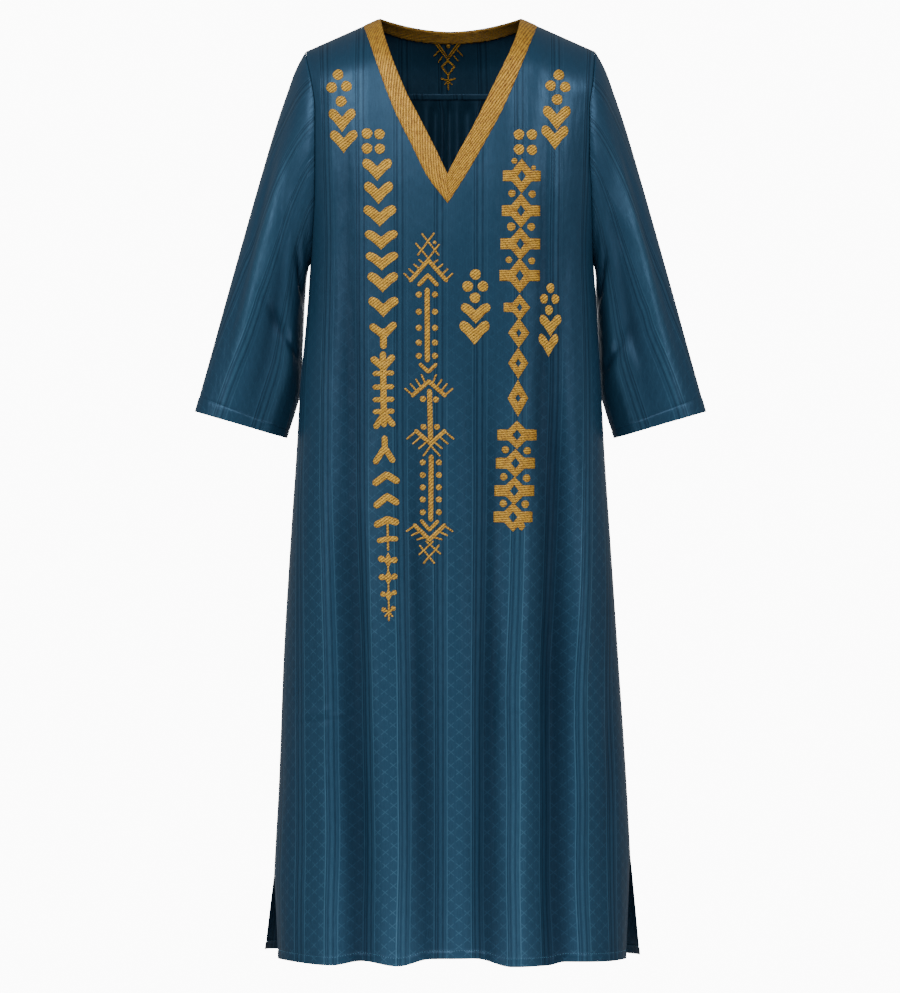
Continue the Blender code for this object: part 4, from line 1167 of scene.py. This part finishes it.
def make_neck_motif(gold: Material, inside: bool) -> Object:
    """The small motif under the back neck: it shows inside, from its reverse, and outside."""
    work = Embroidery("neck_motif_inside" if inside else "neck_motif", BACK, rise=0.8, inside=inside)
    for line, width in (
        ([(434.8, 42.4), (447.8, 59.2), (461, 42.4)], 1.3),
        ([(437.4, 42.4), (447.8, 56.4), (458.2, 42.4)], 1.1),
        ([(438.8, 50.4), (434.2, 55.2)], 1.2), ([(442, 56.4), (438.6, 61)], 1.2),
        ([(457.4, 49.8), (462.4, 54.8)], 1.2),
        ([(454, 55.4), (458, 60)], 1.2),
        ([(448, 60), (454.6, 66), (448, 74.4), (441.8, 66), (448, 60)], 1.9),
        ([(448.3, 73.6), (448.3, 88.6)], 1.7), ([(448.3, 80), (441.8, 78)], 2.0),
        ([(448.3, 80), (454.8, 78)], 2.0),
        ([(448.3, 80), (444.8, 83.6)], 1.3), ([(448.3, 80), (451.8, 83.6)], 1.3),
    ):
        work.stroke(line, width)
    work.dot(448.3, 45.6, 2.0)
    return work.make(gold)


class Value:
    """A socket whose arithmetic adds Math nodes."""

    def __init__(self, nodes: "Nodes", socket) -> None:
        self.nodes = nodes
        self.socket = socket

    def math(self, operation: str, *others) -> "Value":
        """The result of a Math node on this value and others."""
        values = dict(enumerate((self, *others)))
        return self.nodes.add("ShaderNodeMath", {"operation": operation}, values)

    def __add__(self, other: "Value | float") -> "Value":
        """This plus another."""
        return self.math("ADD", other)

    def __radd__(self, other: "Value | float") -> "Value":
        """A number plus this."""
        return self.math("ADD", other)

    def __sub__(self, other: "Value | float") -> "Value":
        """This less another."""
        return self.math("SUBTRACT", other)

    def __rsub__(self, other: "Value | float") -> "Value":
        """A number less this."""
        return self.nodes.number(other).math("SUBTRACT", self)

    def __mul__(self, other: "Value | float") -> "Value":
        """This times another."""
        return self.math("MULTIPLY", other)

    def __rmul__(self, other: "Value | float") -> "Value":
        """A number times this."""
        return self.math("MULTIPLY", other)

    def __truediv__(self, other: "Value | float") -> "Value":
        """This divided by another."""
        return self.math("DIVIDE", other)

    def __abs__(self) -> "Value":
        """This without its sign."""
        return self.math("ABSOLUTE")

    def __mod__(self, other: "Value | float") -> "Value":
        """What is left of this after whole steps."""
        return self.math("FLOORED_MODULO", other)

    def floor(self) -> "Value":
        """The whole steps in this."""
        return self.math("FLOOR")

    def sin(self) -> "Value":
        """The sine of this."""
        return self.math("SINE")

    def step(self, low: float, high: float) -> "Value":
        """0 below low, 1 above high and smooth between; the other way round where high is the lower."""
        return self.nodes.add("ShaderNodeMapRange", {"interpolation_type": "SMOOTHSTEP"},
                              {0: self, 1: low, 2: high, 3: 0.0, 4: 1.0})

    def line(self, middle: float, half: float) -> "Value":
        """1 on a line at the given value, fading to 0 at half its width away."""
        return abs(self - middle).step(half, half * 0.35)


class Nodes:
    """A material's node tree, with one method that makes any node."""

    def __init__(self, name: str) -> None:
        self.material = bpy.data.materials.new(name)
        self.material.use_nodes = True
        self.tree = self.material.node_tree
        self.shader = self.tree.nodes["Principled BSDF"]

    def add(self, kind: str, settings: dict | None = None, values: dict | None = None, output=0) -> Value:
        """Makes a node.

        Args:
            kind: the node's type.
            settings: its properties, set first.
            values: its input sockets by name or place: numbers, colours, or values that are linked.
            output: which output is wanted.

        Returns:
            The wanted output.
        """
        node = self.tree.nodes.new(kind)
        for key, value in (settings or {}).items():
            setattr(node, key, value)
        for key, value in (values or {}).items():
            self.put(node.inputs[key], value)
        return Value(self, node.outputs[output])

    def put(self, socket, value) -> None:
        """Links a value to a socket, or sets the socket to a number or colour."""
        if isinstance(value, Value):
            self.tree.links.new(value.socket, socket)
        else:
            socket.default_value = value

    def number(self, value: float) -> Value:
        """A constant as a value."""
        node = self.tree.nodes.new("ShaderNodeValue")
        node.outputs[0].default_value = value
        return Value(self, node.outputs[0])

    def mix(self, first, second, share) -> Value:
        """A mix of two colours."""
        return self.add("ShaderNodeMix", {"data_type": "RGBA"}, {0: share, 6: first, 7: second}, 2)

    def parts(self, vector: Value) -> tuple[Value, Value, Value]:
        """The x, y and z of a vector."""
        node = self.tree.nodes.new("ShaderNodeSeparateXYZ")
        self.put(node.inputs[0], vector)
        return tuple(Value(self, socket) for socket in node.outputs)

    def noise(self, vector: Value, scale: float, detail: float = 2.0) -> Value:
        """Smooth noise from about 0 to 1."""
        return self.add("ShaderNodeTexNoise", {}, {"Vector": vector, "Scale": scale, "Detail": detail})

    def stretched(self, vector: Value, scale) -> Value:
        """A vector multiplied part by part."""
        return self.add("ShaderNodeVectorMath", {"operation": "MULTIPLY"}, {0: vector, 1: scale})

    def bump(self, height: Value, distance: float, strength: float,
             below: Value | None = None) -> Value:
        """A normal bent by a height, on top of an earlier one."""
        values = {"Height": height, "Distance": distance, "Strength": strength}
        if below is not None:
            values["Normal"] = below
        return self.add("ShaderNodeBump", {}, values)


# The weave in millimetres: its repeat across, the patterned band in it, and the crosses' spacing
REPEAT = 58.0
PATTERNED = 38.0
MOTIF_PITCH = 19.3
MOTIF_APART = 12.6
# Painted shade: the darkest teal, mixed into the troughs of the folds
TROUGH_SHADE = (0.001, 0.012, 0.030, 1.0)
DARK = (0.006, 0.024, 0.048, 1.0)
MID = (0.017, 0.053, 0.098, 1.0)
LIGHT = (0.054, 0.142, 0.222, 1.0)
PALE_GOLD = (0.62, 0.34, 0.028, 1.0)
DEEP_GOLD = (0.34, 0.15, 0.010, 1.0)
# Painted shade for the grooves between rows of gold stitches and the pricks at their ends
GROOVE_SHADE_GOLD = (0.060, 0.020, 0.002, 1.0)
THREAD_DARK = (0.03, 0.13, 0.22, 1.0)
THREAD_LIGHT = (0.09, 0.28, 0.42, 1.0)


def satin(name: str = "figured_satin") -> Material:
    """Teal satin, woven in stripes: bands of small crosses on a diamond net, and ribbed plain zones, with
    painted light on the folds' ridges and painted shade in their troughs.
    """
    nodes = Nodes(name)
    fabric = nodes.add("ShaderNodeUVMap", {"uv_map": "fabric"})
    u, v, _ = nodes.parts(fabric)
    wander = nodes.noise(nodes.stretched(fabric, (8.0, 3.0, 1.0)), 1.0)
    across = (u * 1000 + 1.0 + (wander - 0.5) * 3.0) % REPEAT
    down = v * 1000
    inside = across.step(0.4, 1.4) * across.step(PATTERNED - 0.4, PATTERNED - 1.4)
    shifted = across - (PATTERNED / 2 - 1.5 * MOTIF_APART)
    spot = (shifted / MOTIF_APART).floor() % 2
    beside = abs(shifted % MOTIF_APART - MOTIF_APART / 2)
    above = abs((down + spot * MOTIF_PITCH / 2) % MOTIF_PITCH - MOTIF_PITCH / 2)
    slant = abs(above - beside * (MOTIF_PITCH / 2 / MOTIF_APART))
    net = slant.step(1.3, 0.4)
    cross = slant.step(1.15, 0.45) * beside.step(5.2, 4.4)
    threads = nodes.noise(nodes.stretched(fabric, (900.0, 60.0, 1.0)), 1.0, 3.0)
    speckle = nodes.noise(nodes.stretched(fabric, (700.0, 420.0, 1.0)), 1.0, 2.0)
    middle = (REPEAT + PATTERNED) / 2
    edges = across.line(0.6, 1.5) + across.line(PATTERNED, 1.5)
    centre = across.line(middle, 5.2) * (speckle * 0.6 + 0.4)
    fine = across.line(PATTERNED + 4.0, 0.9) + across.line(REPEAT - 4.0, 0.9)
    dark = (across.line(PATTERNED + 6.2, 2.4) + across.line(REPEAT - 6.2, 2.4)
            + across.line(PATTERNED + 1.9, 1.2))
    ribs = (across * (2 * math.pi / 1.9)).sin() * (1 - inside)
    clear = down.step(120.0, 760.0) * 0.85 + 0.15
    pattern = (cross * 0.25 + net * 0.03 - 0.05) * inside * clear
    # Painted light and shade: the fold height lightens the satin on the ridges and darkens it in the troughs,
    # on top of the weave's own stripes, crosses and unevenness
    fold = nodes.add("ShaderNodeAttribute", {"attribute_name": "fold_height"}, {}, "Fac")
    level = (0.42 + fold * 0.20 + pattern + edges * 0.28 * (clear + 0.2) + centre * 0.18 + fine * 0.10
             - dark * 0.26 + ribs * 0.035 + (threads - 0.5) * 0.34
             + (speckle - 0.5) * 0.14 + (wander - 0.5) * 0.2)
    shade = nodes.mix(DARK, MID, level.step(0.0, 0.55))
    lit = nodes.mix(shade, LIGHT, level.step(0.45, 1.25))
    # Painted shade: the troughs are darkened further towards the darkest teal
    nodes.put(nodes.shader.inputs["Base Color"], nodes.mix(lit, TROUGH_SHADE, fold.step(0.0, -1.1) * 0.5))
    nodes.put(nodes.shader.inputs["Roughness"], 0.44 - level * 0.08 + (threads - 0.5) * 0.12)
    wrinkle = nodes.noise(nodes.stretched(fabric, (26.0, 5.0, 1.0)), 1.0, 3.0)
    crumple = nodes.noise(nodes.stretched(fabric, (60.0, 34.0, 1.0)), 1.0, 2.0)
    soft = nodes.bump(wrinkle, 0.006, 0.55)
    soft = nodes.bump(crumple, 0.0012, 0.5, soft)
    weave = nodes.bump(pattern * 0.5 + edges * 0.3 + ribs * 0.2 + threads * 0.5, 0.0004, 0.55, soft)
    nodes.put(nodes.shader.inputs["Normal"], weave)
    nodes.shader.inputs["Metallic"].default_value = 0.38
    nodes.shader.inputs["Specular IOR Level"].default_value = 0.15
    return nodes.material


def gold(name: str, angle: float, row: float, stitch: float, mapped: bool = False,
         tone: float = 0.0) -> Material:
    """Gold thread in rows of satin stitch: a groove between rows, and a prick where a stitch ends, both
    darkened with painted shade.

    Args:
        name: the material's name.
        angle: the rows' slant in degrees.
        row: the space between rows, in millimetres.
        stitch: a stitch's length, in millimetres.
        mapped: whether the rows follow the piece's own fabric map.
        tone: 0 for pale gold, up to 1 for orange gold.
    """
    nodes = Nodes(name)
    if mapped:
        u, v, _ = nodes.parts(nodes.add("ShaderNodeUVMap", {"uv_map": "fabric"}))
    else:
        u, _, v = nodes.parts(nodes.add("ShaderNodeTexCoord", {}, {}, "Object"))
    turn = math.radians(angle)
    along = (u * math.cos(turn) + v * math.sin(turn)) * 1000
    beside = (v * math.cos(turn) - u * math.sin(turn)) * 1000
    coords = nodes.add("ShaderNodeCombineXYZ", {}, {0: along, 1: beside})
    uneven = nodes.noise(coords, 0.35, 2.0)
    lines = beside / row + uneven * 0.9
    groove = abs(lines % 1 - 0.5).step(0.16, 0.44)
    ends = abs((along / stitch + lines.floor() * 0.37 + uneven * 0.5) % 1 - 0.5)
    prick = ends.step(0.22, 0.40) * groove
    fibre = nodes.noise(nodes.stretched(coords, (0.5, 4.0, 1.0)), 1.0, 2.0)
    patchy = nodes.noise(coords, 0.12, 2.0)
    deeper = (patchy + (fibre - 0.5) * 0.6).step(0.35, 0.85) * 0.75 + tone * 0.5
    body = nodes.mix(PALE_GOLD, DEEP_GOLD, deeper)
    # Painted shade: the grooves between rows and the pricks at the stitches' ends are darkened
    shade = nodes.mix(body, GROOVE_SHADE_GOLD, groove * (patchy * 0.35 + 0.16) + prick * 0.6)
    nodes.put(nodes.shader.inputs["Base Color"], shade)
    nodes.put(nodes.shader.inputs["Roughness"], 0.50 - fibre * 0.16)
    relief = (1 - groove) * 1.2 + fibre * 0.4 - prick * 0.5
    nodes.put(nodes.shader.inputs["Normal"], nodes.bump(relief, 0.0009, 0.8))
    nodes.shader.inputs["Metallic"].default_value = 0.3
    return nodes.material


def thread(name: str = "teal_thread") -> Material:
    """Twisted sewing thread, a shade lighter than the satin."""
    nodes = Nodes(name)
    coords = nodes.add("ShaderNodeTexCoord", {}, {}, "Object")
    twist = nodes.noise(coords, 900.0, 2.0)
    nodes.put(nodes.shader.inputs["Base Color"], nodes.mix(THREAD_DARK, THREAD_LIGHT, twist))
    nodes.put(nodes.shader.inputs["Roughness"], 0.42 + twist * 0.2)
    return nodes.material


def plain(name: str, colour: tuple[float, float, float], roughness: float, glow: float) -> Material:
    """A plain material for the studio."""
    nodes = Nodes(name)
    nodes.shader.inputs["Base Color"].default_value = (*colour, 1.0)
    nodes.shader.inputs["Roughness"].default_value = roughness
    nodes.shader.inputs["Emission Color"].default_value = (1.0, 1.0, 1.0, 1.0)
    nodes.shader.inputs["Emission Strength"].default_value = glow
    return nodes.material


@dataclass(frozen=True)
class Softbox:
    """A soft light: where it stands, what it faces, its size and its power."""

    name: str
    at: tuple[float, float, float]
    faces: tuple[float, float, float]
    size: tuple[float, float]
    power: float


SOFTBOXES = (
    Softbox("left", (-2.5, -1.9, 1.0), (-0.15, 0.0, -0.05), (0.7, 1.2), 72.0),
    Softbox("right", (2.6, -1.9, 1.0), (0.15, 0.0, -0.05), (0.7, 1.2), 66.0),
    Softbox("front", (-0.25, -1.9, 0.8), (0.0, 0.0, 0.0), (1.3, 0.7), 24.0),
)


class Studio:
    """The camera, the floor, the backdrop and the soft lights."""

    CAMERA = (-0.0007, -20.0, -0.6445)
    FRAME_HEIGHT = 1.440
    FLOOR = -1.360
    FLOOR_GLOW = 1.0
    BACKDROP_GLOW = 11.0
    SURROUNDINGS = 0.30

    def build(self) -> None:
        """Adds them all to the scene."""
        scene = bpy.context.scene
        lens = bpy.data.cameras.new("camera")
        lens.sensor_fit = "VERTICAL"
        lens.angle = 2 * math.atan(self.FRAME_HEIGHT / 2 / -self.CAMERA[1])
        lens.clip_end = 100.0
        camera = bpy.data.objects.new("camera", lens)
        camera.location = self.CAMERA
        camera.rotation_euler = (math.pi / 2, 0.0, 0.0)
        scene.collection.objects.link(camera)
        scene.camera = camera
        world = bpy.data.worlds.new("studio")
        world.use_nodes = True
        background = world.node_tree.nodes["Background"]
        background.inputs[0].default_value = (1.0, 1.0, 1.0, 1.0)
        background.inputs[1].default_value = self.SURROUNDINGS
        scene.world = world
        self.plane("floor", (0, -0.75, self.FLOOR), (0, 0, 0), 1.2,
                   plain("floor_white", (0.9, 0.9, 0.9), 0.9, self.FLOOR_GLOW))
        self.plane("backdrop", (0, 6.0, -0.65), (math.pi / 2, 0, 0), 2.2,
                   plain("backdrop_white", (0.9, 0.9, 0.9), 0.9, self.BACKDROP_GLOW))
        for softbox in SOFTBOXES:
            self.light(softbox)

    def plane(self, name: str, at, turn, size: float, material: Material) -> None:
        """A square of the studio that isn't part of the object."""
        half = size / 2
        mesh = bpy.data.meshes.new(name)
        corners = [(-half, -half, 0), (half, -half, 0), (half, half, 0), (-half, half, 0)]
        mesh.from_pydata(corners, [], [(0, 1, 2, 3)])
        body = bpy.data.objects.new(name, mesh)
        body.location, body.rotation_euler = at, turn
        mesh.materials.append(material)
        bpy.context.scene.collection.objects.link(body)

    def light(self, box: Softbox) -> None:
        """One area light, turned to what it faces."""
        lamp = bpy.data.lights.new(box.name, "AREA")
        lamp.shape = "RECTANGLE"
        lamp.size, lamp.size_y = box.size
        lamp.energy = box.power
        body = bpy.data.objects.new(box.name, lamp)
        body.location = box.at
        toward = np.array(box.faces) - np.array(box.at)
        yaw = math.atan2(-toward[0], toward[1])
        pitch = math.atan2(math.hypot(toward[0], toward[1]), -toward[2])
        body.rotation_euler = (pitch, 0.0, yaw)
        bpy.context.scene.collection.objects.link(body)


def hem_stitches(name: str, hull: Hull, material: Material) -> Object:
    """The stitch line of a face's hem, 12 mm above its edge."""
    turns = np.linspace(-0.995, 0.995, 400)
    z = np.full(turns.shape, BACK_HEM)
    for _ in range(HEM_ROUNDS):
        x = hull.across(turns, z)
        z = hull.hem(x) + HEM_HEIGHT
    points, normals = hull.frame(x, z)
    lift = hem_lift(x, z, hull)
    return dashes(name, points + normals * lift[:, None], normals, material)


def main() -> None:
    """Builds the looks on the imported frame."""
    logging.basicConfig(level=logging.INFO, format="%(message)s")
    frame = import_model()
    log.info("nodes: %s", ", ".join(sorted(frame["nodes"])))
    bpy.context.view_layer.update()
    Studio().build()
    cloth = satin()
    teal_thread = thread()
    front = make_front(cloth)
    back = make_back(cloth)
    yoke, turning = make_yoke(cloth)
    stitched = {"front": [hem_stitches("hem_stitches_front", FRONT, teal_thread)],
                "back": [hem_stitches("hem_stitches_back", BACK, teal_thread)]}
    for side, name in ((-1, "left"), (1, "right")):
        body, line, normals = Sleeve(side).make(f"sleeve_cloth_{name}", f"sleeve_{name}", cloth)
        stitches = dashes(f"cuff_stitches_{name}", line, normals, teal_thread)
    # Painted shade: the bands' gold takes a deeper tone (0.7) than the motifs' gold, darkened because the
    # bands face the light more
    bands = make_bands(gold("gold_band_left", 58, 4.4, 3.6, True, 0.7),
                       gold("gold_band_right", 100, 4.4, 3.6, True, 0.7))
    hearts = make_hearts(gold("gold_slanted", 38, 3.7, 4.4))
    combs = make_combs(gold("gold_rope", 42, 3.9, 6.0, tone=0.25))
    diamonds = make_diamonds(gold("gold_level", 4, 3.4, 5.5, tone=0.45))
    motif_gold = gold("gold_small", 20, 3.0, 4.0, tone=0.4)
    neck_motifs = [make_neck_motif(motif_gold, True), make_neck_motif(motif_gold, False)]


if __name__ == "__main__":
    main()
